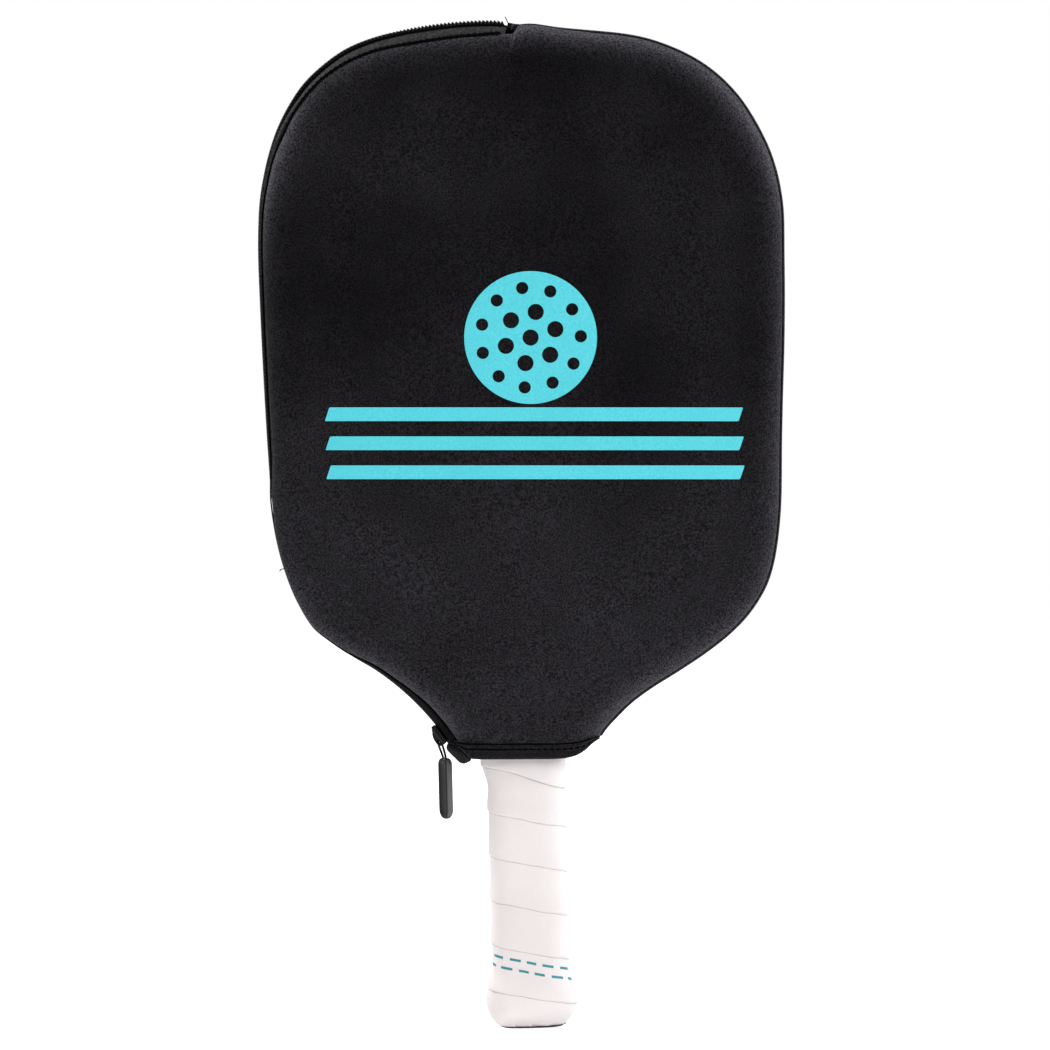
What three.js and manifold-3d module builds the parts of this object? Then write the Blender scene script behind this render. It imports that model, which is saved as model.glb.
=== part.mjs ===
// Zipped soft cover for a racket-sport paddle, with the paddle in it, handle down.
// Millimetres. +Z runs up from the handle's butt to the head, -Y is the printed front,
// +Y the plain flat back. The origin is at the middle of the butt's end.
import * as THREE from "three";
import Module from "manifold-3d";
import { mergeVertices } from "three/addons/utils/BufferGeometryUtils.js";

const { clamp, lerp } = THREE.MathUtils;
const DEG = Math.PI / 180;

// ---- driving dimensions; a place given as a pair is [x, z] ----
const GAP = 0.3; // between neighbouring pieces

// Padded panels
const CASE_HALF_DEPTH = 11.6; // outside of the padded panel, over the head
const WALL = 3; // thickness of the foam-backed knit
const EDGE_ROUND = 9; // how far the panel's rounded edge reaches in from the outline
const EDGE_DROP = 8; // how deep that rounding is
const CAVITY_INSET = 5.2; // the hollow's outline inside the outer outline
const CAVITY_HALF_DEPTH = CASE_HALF_DEPTH - WALL;
const CAVITY_ROUND = 2.2;
const CAVITY_BOTTOM = 60; // the hollow and the panels are drawn down past the hem, then cut
const PANEL_BOTTOM = 80;
const PANEL_EDGE_Y = 3.5; // both panels' edges stop this far from the middle plane at the zip
const FRONT_TOP_DROP = 2.2; // the front panel's outline below the zip's top end
const NECK_BULGE = 0.36; // share by which the cover is deeper at the hem than over the head
const NECK_BULGE_TOP = 168; // height where that swelling starts
const NECK_BULGE_FULL = 112; // height where it is complete
const FOLD_TOP = [1.8, 408.6]; // the flap folds along the line between these two points
const FOLD_BOTTOM = [27.8, 116.3];

// Zip
const ZIP_ARC_CENTRE = [-126.5, 57.8]; // the zip's lower run is a true arc round this point
const ZIP_ARC_R = 109.3;
const ZIP_ARC_START = 22; // degrees, where the outline's arc starts, below the zip
const ZIP_ARC_END = 61;
const ZIP_START = 33.2; // degrees round the arc, lower end of coil and tape
const ZIP_END = 0.985; // share of the left outline, upper end of coil and tape
const COIL_WIDTH = 2.3;
const COIL_HALF_DEPTH = 1.75;
const COIL_PITCH = 6.2; // one notch stands for four turns of the coil
const COIL_NOTCH = 0.55;
const TAPE_THICKNESS = 0.7;
const TAPE_STEPS = 34;
const TAPE_BACK_INSET = 2; // below the insets at which the tape climbs, so the back one lies flat
const TAPE_Y = { coil: 2.1, flat: 2.75, climbed: 9.6 }; // inner face: by the coil, far edge
const STOP_HALF_DEPTH = 2.2;
const STOP_ROUND = 0.3;
const BOTTOM_STOP_FROM = 31.8; // degrees; it ends where the slider begins

// Slider and pull
const SLIDER_FROM = 32.9; // degrees round the zip's arc
const SLIDER_TO = 37.5;
const SLIDER_HALF_WIDTH = 3.7;
const SADDLE_RADII = [107.5, 109.05];
const BRIDGE_HALF_WIDTH = 0.75;
const PULL_PIVOT = [-38.1, 117.6]; // the wire's bar inside the slider's bridge
const PULL_TURN = 60; // degrees the tab is turned about the vertical, its broad side to the left
const WIRE_TURN = PULL_TURN + 5; // the wire is turned a little further
const WIRE_RADIUS = 0.45;
const WIRE_HOLE_RADIUS = 0.8;
const TAB = { x: -35.9, z0: 85.6, z1: 110.6, width: 8, thick: 3, corner: 2.6, bevel: 0.7 };

// Side seam
const SEAM_FROM = 0.03; // shares of the right outline
const SEAM_TO = 0.93;
const SEAM_DEPTH = 0.7;

// Print
const PRINT_THICKNESS = 0.3;
const PRINT_CLEARANCE = 0.1;
const EMBLEM = { x: 3.5, z: 281.2, r: 27 };
const STRIPES = {
  x0: -81, x1: 89.2, z: [250.0, 238.2, 226.4], height: 5.6,
  lean: 0.0255, // fall per millimetre of x
  slant: 2, // how far the slanted ends run along x
};

// Paddle
const PADDLE_X = 0.9; // middle of the paddle's head
const CORE_HALF = 6.4; // half thickness of the honeycomb core
const CORE_INSET = 2.2; // core and faces inside the head's outline
const FACE_THICKNESS = 0.6;
const FACE_Y = CORE_HALF + 0.15; // inner side of each face
const FACE_BOTTOM = 118.2;
const GUARD_HALF = 7.9;
const GUARD_EDGE = 1.4; // bevel of the guard's outer edges
const GUARD_RIM = 1.9; // material outside the slot
const GUARD_LIP = 7; // how far the guard reaches over the faces
const GUARD_SLOT_HALF = FACE_Y + FACE_THICKNESS + 0.25;
const GUARD_BOTTOM = 128;
const TONGUE = { half: 12, bottom: 58.4, top: 114.6 }; // the core runs down into the handle
const HANDLE_X = -3.2;
const HANDLE_WIDTH = 33;
const HANDLE_DEPTH = 26;
const HANDLE_TOP_HALF_DEPTH = 10.5; // the handle thins towards the throat
const CORE_TOP_HALF_DEPTH = 8.3;
const BUTT_WIDTH = 37;
const BUTT_DEPTH = 30;
const GRIP_THICKNESS = 1.9;
const GRIP_TOP = 104; // upper end of the overlapping wrap
const COLLAR_TOP = 113; // the collar tape runs up under the hem

// Finishes: [colour, roughness, metalness]
const FINISHES = {
  knit: [0x1d1c1e, 0.9, 0],
  hem: [0x19181a, 0.9, 0],
  seam: [0x101011, 0.9, 0],
  tape: [0x2c2c2e, 0.85, 0],
  coil: [0x0b0b0c, 0.35, 0],
  slider: [0x1a1a1b, 0.4, 0.6],
  wire: [0x161617, 0.45, 0.5],
  tab: [0x3a3a3c, 0.6, 0],
  print: [0x5cdce8, 0.5, 0],
  core: [0xcfc9b8, 0.8, 0],
  face: [0x1b1b1d, 0.45, 0],
  guard: [0x141415, 0.5, 0],
  handle: [0x8d8f92, 0.7, 0],
  grip: [0xf1eceb, 0.75, 0],
  collar: [0xe6e3ea, 0.6, 0],
  butt: [0xdedcdd, 0.6, 0],
  band: [0x3fb6c4, 0.6, 0],
};

// ---- measured tables ----
// Outline of the closed cover, [x, z]: left side from the arc's end up to the zip's top end,
// then the right side from there down to the neck.
const LEFT_FREE = [
  [-84.9, 161.8], [-90.0, 167.3], [-95.4, 177.4], [-99.2, 187.6], [-102.0, 198.2],
  [-103.9, 209.5], [-104.95, 221.3], [-105.5, 240.9], [-106.15, 260.6], [-106.7, 280.3],
  [-107.1, 300], [-107.3, 317], [-106.95, 329.5], [-106.1, 340.3], [-104.3, 350.3],
  [-101.7, 360.3], [-98.2, 369.8], [-93.4, 379], [-87.0, 388], [-79.0, 395.4],
  [-69.6, 401.7], [-59, 405.9], [-46.4, 408.9], [-34, 410.7], [-22, 411.7],
  [-11, 411.9], [-4, 411.2],
];
const ZIP_TOP = [2.2, 409.8];
const RIGHT_FREE = [
  [8, 409.9], [18.8, 408.1], [31, 406.7], [43.3, 405.2], [53, 403.2], [62, 400.1],
  [70.5, 396.1], [78.5, 391], [85.3, 385.1], [91.4, 378.1], [96.3, 370.6], [100.4, 362.8],
  [103.7, 355], [106.2, 346.3], [107.8, 337], [108.4, 328], [108.2, 314], [107.9, 296],
  [107.2, 276], [106.1, 255.3], [105.2, 235.6], [104.5, 215], [103.3, 201.5],
  [101.3, 189.5], [98.4, 179.8], [94.2, 172], [88.6, 164.7], [81.15, 157.6],
  [71.5, 150.5], [60.2, 143.4], [50, 137.4], [41.5, 131.5], [34.6, 125.1],
  [29.4, 119.4], [26.4, 113], [25, 104], [24.6, 94],
];
// The hem's lower edge and its stitched top line, [x, z].
const HEM_BOTTOM = [
  [-62, 138], [-47, 124], [-38.6, 115.6], [-32.6, 112.2], [-25, 110.7], [-16, 110.3],
  [0, 110], [11, 109.9], [17.4, 110.9], [21.6, 112.9], [25.2, 115.8], [28.4, 117.6],
  [36, 121], [60, 132],
];
const HEM_TOP = [
  [-62, 118.9], [-36, 117.5], [-25, 116.7], [-6, 116.2], [10, 115.9], [19, 116.4],
  [28, 118.3], [60, 123],
];
// How far the front panel's stitched edge lies inside the outline along the zip,
// [share along the left outline, inset].
const SEAM_INSET = [
  [0, 4.2], [0.08, 3.8], [0.14, 2.2], [0.2, 0.6], [0.235, 0.2], [0.32, 0.2], [0.35, 0.9],
  [0.4, 2.0], [0.5, 2.2], [0.62, 2.3], [0.68, 2.9], [0.73, 4.4], [0.78, 5.8], [0.84, 7.0],
  [0.9, 7.8], [0.96, 7.4], [1, 4.2],
];
// How far the coil sits inside the outline, with the same columns: it dips behind the front
// panel's edge at the lower left.
const COIL_INSET = [
  [0, 0.1], [0.2, 0.1], [0.25, 1.6], [0.32, 1.6], [0.37, 0.3], [0.42, 0], [1, 0],
];
// Half outline of the paddle's head and throat: [half width, z, middle x if not PADDLE_X].
const HEAD = [
  [0, 402.6], [22, 401.6], [41, 398.3], [58.2, 393.6], [73.2, 385.4], [85.0, 373.6],
  [93.3, 359.8], [98.7, 344.4], [100.7, 328], [100.3, 296], [98.6, 255.5], [97.0, 215.5],
  [93.6, 191.5], [87.2, 175.9], [75.2, 163.2], [55.4, 149.6, 0.2], [37.6, 137.6, -1.4],
  [30.9, 130.2, -2.6], [25.4, 123, HANDLE_X], [21, 118, HANDLE_X], [16.2, 115, HANDLE_X],
];
// The emblem's holes: [count, radius of their circle, hole radius, first hole's angle in radians].
const EMBLEM_HOLES = [[1, 0, 3.3, 0], [6, 10.6, 3.3, 0.3], [11, 20.4, 2.5, 0]];
// Section of the handle for a half width and half depth of 1: a rounded octagon.
const HANDLE_SECTION = [
  [1, -0.52], [1, 0.52], [0.86, 0.8], [0.52, 1], [-0.52, 1], [-0.86, 0.8],
  [-1, 0.52], [-1, -0.52], [-0.86, -0.8], [-0.52, -1], [0.52, -1], [0.86, -0.8],
];

// ---- curves and shapes in the X-Z plane ----
const range = (count, make) => Array.from({ length: count }, (_, i) => make(i));
const toVector = (point) => (point.isVector2 ? point : new THREE.Vector2(...point));
const spline = (points, steps) =>
  new THREE.SplineCurve(points.map(toVector)).getSpacedPoints(steps);
// Points of a curve between two shares of its length.
const along = (curve, from, to, steps) =>
  range(steps + 1, (i) => curve.getPointAt(from + ((to - from) * i) / steps));
const zipArc = (radius, angle) => [
  ZIP_ARC_CENTRE[0] + radius * Math.cos(angle * DEG),
  ZIP_ARC_CENTRE[1] + radius * Math.sin(angle * DEG),
];
const circle = (radius, count, x = 0, z = 0, phase = 0) =>
  range(count, (i) => {
    const angle = phase + (2 * Math.PI * i) / count;
    return [x + radius * Math.cos(angle), z + radius * Math.sin(angle)];
  });
function shapeOf(points, holes = []) {
  const shape = new THREE.Shape(points.map(toVector));
  holes.forEach((hole) => shape.holes.push(new THREE.Path(hole.map(toVector))));
  return shape;
}

// Smooth step from 0 to 1.
const smooth = (u) => {
  const t = clamp(u, 0, 1);
  return t * t * (3 - 2 * t);
};
// Looks up [share, value] rows, with a smooth step from each row to the next.
const easedTable = (rows) => (share) => {
  let i = 1;
  while (i < rows.length - 1 && share > rows[i][0]) i++;
  const [from, to] = [rows[i - 1], rows[i]];
  return from[1] + (to[1] - from[1]) * smooth((share - from[0]) / (to[0] - from[0]));
};
const seamInset = easedTable(SEAM_INSET);
const coilInset = easedTable(COIL_INSET);

// Unit vector to the right of a chain's run at point i, which for the outline points inwards.
function inward(chain, i) {
  const before = chain[Math.max(i - 1, 0)];
  const after = chain[Math.min(i + 1, chain.length - 1)];
  const tangent = after.clone().sub(before).normalize();
  return new THREE.Vector2(tangent.y, -tangent.x);
}
// A chain moved inwards, by a fixed amount or by amount(share along the chain).
function inset(chain, amount) {
  return chain.map((point, i) => {
    const distance = typeof amount === "function" ? amount(i / (chain.length - 1)) : amount;
    return point.clone().addScaledVector(inward(chain, i), distance);
  });
}

const leftArc = range(7, (i) =>
  zipArc(ZIP_ARC_R, ZIP_ARC_START + (i * (ZIP_ARC_END - ZIP_ARC_START)) / 6));
const leftChain = spline([...leftArc, ...LEFT_FREE, ZIP_TOP], 54);
const rightChain = spline([ZIP_TOP, ...RIGHT_FREE], 46);

// ---- solids ----
const wasm = await Module();
wasm.setup();
function solid(geometry) {
  const bare = geometry.index ? geometry.toNonIndexed() : geometry.clone();
  bare.deleteAttribute("normal");
  bare.deleteAttribute("uv");
  const merged = mergeVertices(bare, 1e-4);
  return new wasm.Manifold(
    new wasm.Mesh({
      numProp: 3,
      vertProperties: new Float32Array(merged.attributes.position.array),
      triVerts: new Uint32Array(merged.index.array),
    }),
  );
}
// Turns every triangle of a non-indexed geometry over, in place.
function flip(geometry) {
  const xyz = geometry.attributes.position.array;
  for (let i = 0; i < xyz.length; i += 9)
    for (let k = i; k < i + 3; k++) [xyz[k], xyz[k + 3]] = [xyz[k + 3], xyz[k]];
  return geometry;
}
// Solid of an extrusion whose faces may point inwards.
function outwardSolid(geometry) {
  const result = solid(geometry);
  return result.volume() < 0 ? solid(flip(geometry)) : result;
}
function geometryOf(manifold) {
  const mesh = manifold.getMesh();
  const xyz = new Float32Array(mesh.numVert * 3);
  for (let i = 0; i < mesh.numVert; i++) {
    const start = i * mesh.numProp;
    xyz.set(mesh.vertProperties.subarray(start, start + 3), i * 3);
  }
  const geometry = new THREE.BufferGeometry();
  geometry.setAttribute("position", new THREE.BufferAttribute(xyz, 3));
  geometry.setIndex(new THREE.BufferAttribute(new Uint32Array(mesh.triVerts), 1));
  geometry.computeVertexNormals();
  return geometry;
}
const biggest = (manifold) =>
  manifold.decompose().sort((a, b) => b.volume() - a.volume())[0];

// A shape in the X-Z plane, as a plate between two values of Y. Its edge may be rounded,
// reaching `round` in from the outline and `drop` down from each side.
function plate(shape, y0, y1, round = 0, drop = round, bevelSegments = 1) {
  const geometry = new THREE.ExtrudeGeometry(shape, {
    depth: y1 - y0 - 2 * drop,
    bevelEnabled: round > 0,
    bevelSize: round,
    bevelOffset: -round,
    bevelThickness: drop,
    bevelSegments,
    steps: 1,
  });
  geometry.rotateX(Math.PI / 2);
  geometry.translate(0, y1 - drop, 0);
  return geometry;
}
const solidPlate = (...args) => solid(plate(...args));
// A plate between two insets of a chain.
const strip = (chain, outer, inner, y0, y1) =>
  plate(shapeOf([...inset(chain, outer), ...inset(chain, inner).reverse()].reverse()), y0, y1);
function slab([x0, x1], [y0, y1], [z0, z1]) {
  const box = new THREE.BoxGeometry(x1 - x0, y1 - y0, z1 - z0);
  box.translate((x0 + x1) / 2, (y0 + y1) / 2, (z0 + z1) / 2);
  return solid(box);
}

// Cutting bodies reach past the cover on every side.
const CUT_X = [-200, 200];
const CUT_Y = [-60, 60];
const CUT_Z = [60, 500];
const paddleAbove = (z) => slab(CUT_X, [-40, 40], [z, 500]);

// The cover swells in depth towards the neck, where it stretches over the grip's top.
// It is cut into slices first, so that there are vertices for the swelling to follow.
function swell(geometry) {
  const levels = [60, 118, 127, 136, 146, 157, NECK_BULGE_TOP, 500];
  const whole = solid(geometry);
  const swollenSlice = (top, i) => {
    const slice = geometryOf(whole.intersect(slab([-300, 300], CUT_Y, [levels[i], top])));
    const position = slice.attributes.position;
    for (let k = 0; k < position.count; k++) {
      const depth = NECK_BULGE_TOP - position.getZ(k);
      const share = smooth(depth / (NECK_BULGE_TOP - NECK_BULGE_FULL));
      position.setY(k, position.getY(k) * (1 + NECK_BULGE * share));
    }
    return solid(slice);
  };
  return levels.slice(1).map(swollenSlice).reduce((a, b) => a.add(b));
}

// ---- cutting bodies for hem and fold ----
function above(curve, lift) {
  const lifted = curve.map((p) => [p.x, p.y + lift]);
  const [left, right] = CUT_X;
  const frame = [[right, lifted.at(-1)[1]], [right, 500], [left, 500], [left, lifted[0][1]]];
  return solidPlate(shapeOf([...lifted, ...frame]), ...CUT_Y);
}
const aboveHemEdge = above(spline(HEM_BOTTOM, 44), 0);
const grooveCurve = spline(HEM_TOP, 24);
const aboveGroove = above(grooveCurve, GAP / 2);
const aboveHem = above(grooveCurve, -GAP / 2);

const foldSlope = (FOLD_BOTTOM[0] - FOLD_TOP[0]) / (FOLD_TOP[1] - FOLD_BOTTOM[1]);
// Everything on one side of the fold line: -1 left, 1 right.
function besideFold(side) {
  const foldX = (z) => FOLD_TOP[0] + (FOLD_TOP[1] - z) * foldSlope + (side * GAP) / 2;
  const corners = [[foldX(60), 60], [side * 260, 60], [side * 260, 460], [foldX(460), 460]];
  return solidPlate(shapeOf(corners), ...CUT_Y);
}
const leftOfFold = besideFold(-1);
const rightOfFold = besideFold(1);

// ---- panels ----
// Left and right chains joined at a point below the zip's top end.
const joined = (left, right, drop) =>
  [...left.slice(0, -1), toVector([ZIP_TOP[0], ZIP_TOP[1] - drop]), ...right.slice(1)];
// Outer body of a panel from its outline, `extra` thicker on each side.
function panelBody(rim, extra = 0) {
  const shape = shapeOf(
    [[rim[0].x, PANEL_BOTTOM], ...rim, [rim.at(-1).x, PANEL_BOTTOM]].reverse());
  const half = CASE_HALF_DEPTH + extra;
  return swell(plate(shape, -half, half, EDGE_ROUND, EDGE_DROP, 3));
}

// Hollow of the cover: the same for both panels, running out through the neck.
function makeCavity() {
  const leftInset = (s) =>
    CAVITY_INSET + 0.9 * smooth((s - 0.6) / 0.3) * smooth((1 - s) / 0.1 + 0.3);
  const rim = joined(
    inset(leftChain, leftInset), inset(rightChain, CAVITY_INSET), CAVITY_INSET);
  const shape = shapeOf(
    [...rim, [rim.at(-1).x, CAVITY_BOTTOM], [rim[0].x, CAVITY_BOTTOM]].reverse());
  const half = CAVITY_HALF_DEPTH;
  return swell(plate(shape, -half, half, CAVITY_ROUND, CAVITY_ROUND, 2));
}
const cavity = makeCavity();
const backZone = slab(CUT_X, [-PANEL_EDGE_Y + GAP, 40], CUT_Z);

// Front panel: its left edge is the stitched line inside the zip, its right edge the crease.
const frontRight = inset(rightChain, (s) => 1.2 + 0.4 * smooth(s / 0.12));
const frontShell = panelBody(joined(inset(leftChain, seamInset), frontRight, FRONT_TOP_DROP))
  .subtract(cavity)
  .intersect(slab(CUT_X, [-40, -PANEL_EDGE_Y], CUT_Z))
  .intersect(aboveHemEdge);
const frontPanel = frontShell.intersect(aboveGroove);
const frontHem = frontShell.subtract(aboveHem).intersect(leftOfFold);

// Back panel: it also makes the side wall on the right, up to the crease. On the zip's side
// it stops short of the middle plane.
const zipSideX = ZIP_TOP[0] + 0.4;
const zipSide = solidPlate(
  shapeOf([[zipSideX, 500], [-200, 500], [-200, 60], [-16, 60], [-16, 150], [zipSideX, 330]]),
  -PANEL_EDGE_Y,
  PANEL_EDGE_Y,
);
const backLeft = inset(leftChain, (s) =>
  1.2 + 0.8 * smooth((0.36 - s) / 0.1) * smooth((s - 0.13) / 0.08));
const backShell = panelBody(joined(backLeft, rightChain, 0))
  .subtract(cavity)
  .intersect(backZone)
  .subtract(zipSide)
  .intersect(aboveHemEdge);

// Side seam: the stitched line in the crease between the two panels.
const seamChain = along(new THREE.SplineCurve(rightChain), SEAM_FROM, SEAM_TO, 40);
const sideSeam = strip(seamChain, 0.55, 1.25, -PANEL_EDGE_Y - SEAM_DEPTH, -PANEL_EDGE_Y);

// ---- zip ----
const zipCurve = new THREE.SplineCurve(leftChain);
const zipCurveLength = zipCurve.getLength();
const zipFrom = ((ZIP_START - ZIP_ARC_START) * DEG * ZIP_ARC_R) / zipCurveLength;
// Share of the left outline for a share of the zip.
const zipShare = (u) => zipFrom + (ZIP_END - zipFrom) * u;

// Half of the coil between two values of Y, notched along its outer edge.
const coilSteps = 2 * Math.round((zipCurveLength * (ZIP_END - zipFrom)) / COIL_PITCH);
const coilChain = along(zipCurve, zipFrom, ZIP_END, coilSteps);
const coilOuter = (u) =>
  coilInset(zipShare(u)) + (Math.round(u * coilSteps) % 2 ? COIL_NOTCH : 0);
const coilInner = (u) => coilInset(zipShare(u)) + COIL_WIDTH;
const coil = (y0, y1) => solid(strip(coilChain, coilOuter, coilInner, y0, y1));

// The tape between the coil and the panel's edge: a thin strip, bent into place from a unit
// block. In front it slopes forward where the panel's edge lies far in.
function tape(front) {
  const section = [...range(5, (i) => [i / 4, 0]), ...range(5, (i) => [1 - i / 4, 1])];
  const geometry = new THREE.ExtrudeGeometry(shapeOf(section), {
    depth: 1,
    steps: TAPE_STEPS,
    bevelEnabled: false,
  });
  const position = geometry.attributes.position;
  const base = along(zipCurve, zipFrom, ZIP_END, TAPE_STEPS);
  for (let i = 0; i < position.count; i++) {
    const across = position.getX(i);
    const station = Math.round(position.getZ(i) * TAPE_STEPS);
    const share = zipShare(station / TAPE_STEPS);
    const edge = front ? seamInset(share) : TAPE_BACK_INSET;
    // 0 where the tape lies flat under the panel's wall, 1 where it climbs to the panel's edge
    const reach = share > 0.5 ? smooth((edge - 3.4) / 2.2) : 0;
    const start = coilInset(share) + 0.7;
    const distance = start + (lerp(5, edge - 0.45, reach) - start) * across;
    const rise = lerp(TAPE_Y.flat, TAPE_Y.climbed, reach) - TAPE_Y.coil;
    const climb = reach * (1 - (1 - across) ** 2) + 1 - reach;
    const blend = smooth(across * 3) * (1 - reach) + across ** (1 - 0.25 * reach) * reach;
    const y = TAPE_Y.coil + rise * climb * blend + TAPE_THICKNESS * position.getY(i);
    const point = base[station].clone().addScaledVector(inward(base, station), distance);
    position.setXYZ(i, point.x, front ? -y : y, point.y);
  }
  return outwardSolid(geometry);
}
// The front panel grown by the gap, without its back part, to trim the front tape.
const frontClearance = panelBody(
  [...inset(leftChain, (s) => seamInset(s) - GAP), ...frontRight.slice(1)], GAP,
).subtract(backZone);
const tapeFront = biggest(tape(true).subtract(frontClearance).intersect(aboveHemEdge));
const tapeBack = biggest(tape(false).intersect(aboveHemEdge));

// Stops above and below the coil.
const stopPlate = (shape) => plate(shape, -STOP_HALF_DEPTH, STOP_HALF_DEPTH, STOP_ROUND);
function zipPoint(share, distance) {
  const point = zipCurve.getPointAt(share);
  const tangent = zipCurve.getTangentAt(share);
  return [point.x + tangent.y * distance, point.y - tangent.x * distance];
}
// [share of the left outline, inset]
const TOP_STOP = [[0.9885, 0.1], [0.9885, 2.4], [0.9965, 2.4], [0.9965, 0.1]];
const topStop = stopPlate(shapeOf(TOP_STOP.map((corner) => zipPoint(...corner))));

// Part of a ring round the zip's arc, between two radii and two angles.
function sector(r0, r1, from, to, steps) {
  const turn = (to - from) / steps;
  return shapeOf([
    ...range(steps + 1, (i) => zipArc(r0, from + turn * i)),
    ...range(steps + 1, (i) => zipArc(r1, to - turn * i)),
  ].reverse());
}
const bottomStop = stopPlate(
  sector(ZIP_ARC_R + 0.1, ZIP_ARC_R + 2.3, BOTTOM_STOP_FROM, SLIDER_FROM, 2));

// Folded tape end, sealed to a stiff lump, that fills the gap between the two hems.
const TAPE_END = [
  [-34.0, 114.2], [-31.4, 115.4], [-25.3, 110.6], [-25.4, 109.6], [-27.9, 108.3], [-29, 108.6],
];
const tapeEnd = plate(shapeOf(TAPE_END), -2.6, 2.6, 0.7, 0.7, 2);

// ---- slider: a saddle over the coil with a cast bridge, which the pull's wire hangs in ----
const SLIDER_MIDDLE = (SLIDER_FROM + SLIDER_TO) / 2;
// Bridge round the zip's arc, [radius, degrees]: over its outside, then back along its inside.
const BRIDGE = [
  [107.7, SLIDER_FROM + 0.15], [105.2, SLIDER_FROM + 0.1], [104.3, SLIDER_FROM + 0.6],
  [104.0, SLIDER_MIDDLE],
  [104.3, SLIDER_TO - 0.6], [105.2, SLIDER_TO - 0.1], [107.7, SLIDER_TO - 0.15],
  [107.7, SLIDER_TO - 0.8], [105.9, SLIDER_TO - 0.8], [105.3, SLIDER_TO - 1.2],
  [105.1, SLIDER_MIDDLE],
  [105.3, SLIDER_FROM + 1.1], [105.9, SLIDER_FROM + 0.75], [107.7, SLIDER_FROM + 0.75],
];
const saddleShape = sector(...SADDLE_RADII, SLIDER_FROM, SLIDER_TO, 6);
const saddle = solidPlate(saddleShape, -SLIDER_HALF_WIDTH, SLIDER_HALF_WIDTH, 0.4, 0.4, 2);
const bridgeShape = shapeOf(BRIDGE.map((corner) => zipArc(...corner)));
const bridge = outwardSolid(plate(bridgeShape, -BRIDGE_HALF_WIDTH, BRIDGE_HALF_WIDTH));
const sliderBody = saddle.add(bridge);

// ---- pull: a wire loop through the bridge and a moulded tab ----
// One leg of the loop, from the tab up: [half the loop's width, x, z].
const WIRE_LEG = [
  [1.3, TAB.x, 107.8], [1.35, TAB.x - 0.1, 110.4], [1.8, -36.9, 113.4],
  [1.95, -37.7, 116.2], [1.2, PULL_PIVOT[0], 117.5],
];
const wirePath = new THREE.CatmullRomCurve3(
  [
    ...WIRE_LEG.map(([half, x, z]) => [-half, x, z]),
    [0, ...PULL_PIVOT],
    ...WIRE_LEG.toReversed(),
  ].map(([side, x, z]) => new THREE.Vector3(
    x + side * Math.cos(WIRE_TURN * DEG),
    -side * Math.sin(WIRE_TURN * DEG),
    z,
  )),
);
const wireTube = (radius) =>
  outwardSolid(new THREE.ExtrudeGeometry(shapeOf(circle(radius, 6)), {
    steps: 26,
    extrudePath: wirePath,
    bevelEnabled: false,
  }));

function makePullTab() {
  const { width, corner, bevel } = TAB;
  const half = width / 2;
  const cornerZ = TAB.z1 - TAB.z0 - corner;
  const shape = new THREE.Shape();
  shape.absarc(0, half, half, Math.PI, 2 * Math.PI, false);
  shape.lineTo(half, cornerZ);
  shape.absarc(half - corner, cornerZ, corner, 0, Math.PI / 2, false);
  shape.absarc(-half + corner, cornerZ, corner, Math.PI / 2, Math.PI, false);
  const depth = TAB.thick - 2 * bevel;
  const geometry = new THREE.ExtrudeGeometry(shape, {
    depth,
    bevelEnabled: true,
    bevelSize: bevel,
    bevelOffset: -bevel,
    bevelThickness: bevel,
    bevelSegments: 1,
    curveSegments: 5,
  });
  geometry.translate(0, 0, -depth / 2);
  geometry.rotateX(Math.PI / 2);
  geometry.rotateZ(-PULL_TURN * DEG);
  geometry.translate(TAB.x, 0, TAB.z0);
  return outwardSolid(geometry).subtract(wireTube(WIRE_HOLE_RADIUS));
}

// ---- print: a perforated ball and three stripes, each split where the cloth folds ----
const printBack = -CASE_HALF_DEPTH - PRINT_CLEARANCE;
const printPlate = (shape) => solidPlate(shape, printBack - PRINT_THICKNESS, printBack);
const emblemHoles = EMBLEM_HOLES.flatMap(([count, ringRadius, holeRadius, phase]) =>
  circle(ringRadius, count, EMBLEM.x, EMBLEM.z, phase).map(([x, z]) =>
    circle(holeRadius, 8, x, z).reverse()));
const emblem = printPlate(shapeOf(circle(EMBLEM.r, 36, EMBLEM.x, EMBLEM.z), emblemHoles));
function stripe(z) {
  const { x0, x1, height, lean, slant } = STRIPES;
  const half = height / 2;
  const middle = (x0 + x1) / 2;
  const at = (x, rise) => [x, z - (x - middle) * lean + rise];
  return printPlate(
    shapeOf([at(x0, -half), at(x1 - slant, -half), at(x1, half), at(x0 + slant, half)]));
}

// ---- paddle head ----
const headChain = (side) =>
  spline(HEAD.map(([half, z, middle = PADDLE_X]) => [middle + side * half, z]), 30);
const headRight = headChain(1);
const headLeft = headChain(-1);
// The head's outline moved in, with extra points at its open lower end.
function headShape(distance, tail = []) {
  const right = inset(headRight, distance).slice(1);
  const left = inset(headLeft, -distance).slice(1);
  const top = [PADDLE_X, HEAD[0][1] - distance];
  return shapeOf([...left.reverse(), top, ...right, ...tail].reverse());
}

const tongueTail = [
  [HANDLE_X + TONGUE.half, TONGUE.top], [HANDLE_X + TONGUE.half, TONGUE.bottom],
  [HANDLE_X - TONGUE.half, TONGUE.bottom], [HANDLE_X - TONGUE.half, TONGUE.top],
];
const paddleCore = solidPlate(headShape(CORE_INSET, tongueTail), -CORE_HALF, CORE_HALF);
const face = (y0, y1) =>
  solidPlate(headShape(CORE_INSET), y0, y1).intersect(paddleAbove(FACE_BOTTOM));

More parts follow.
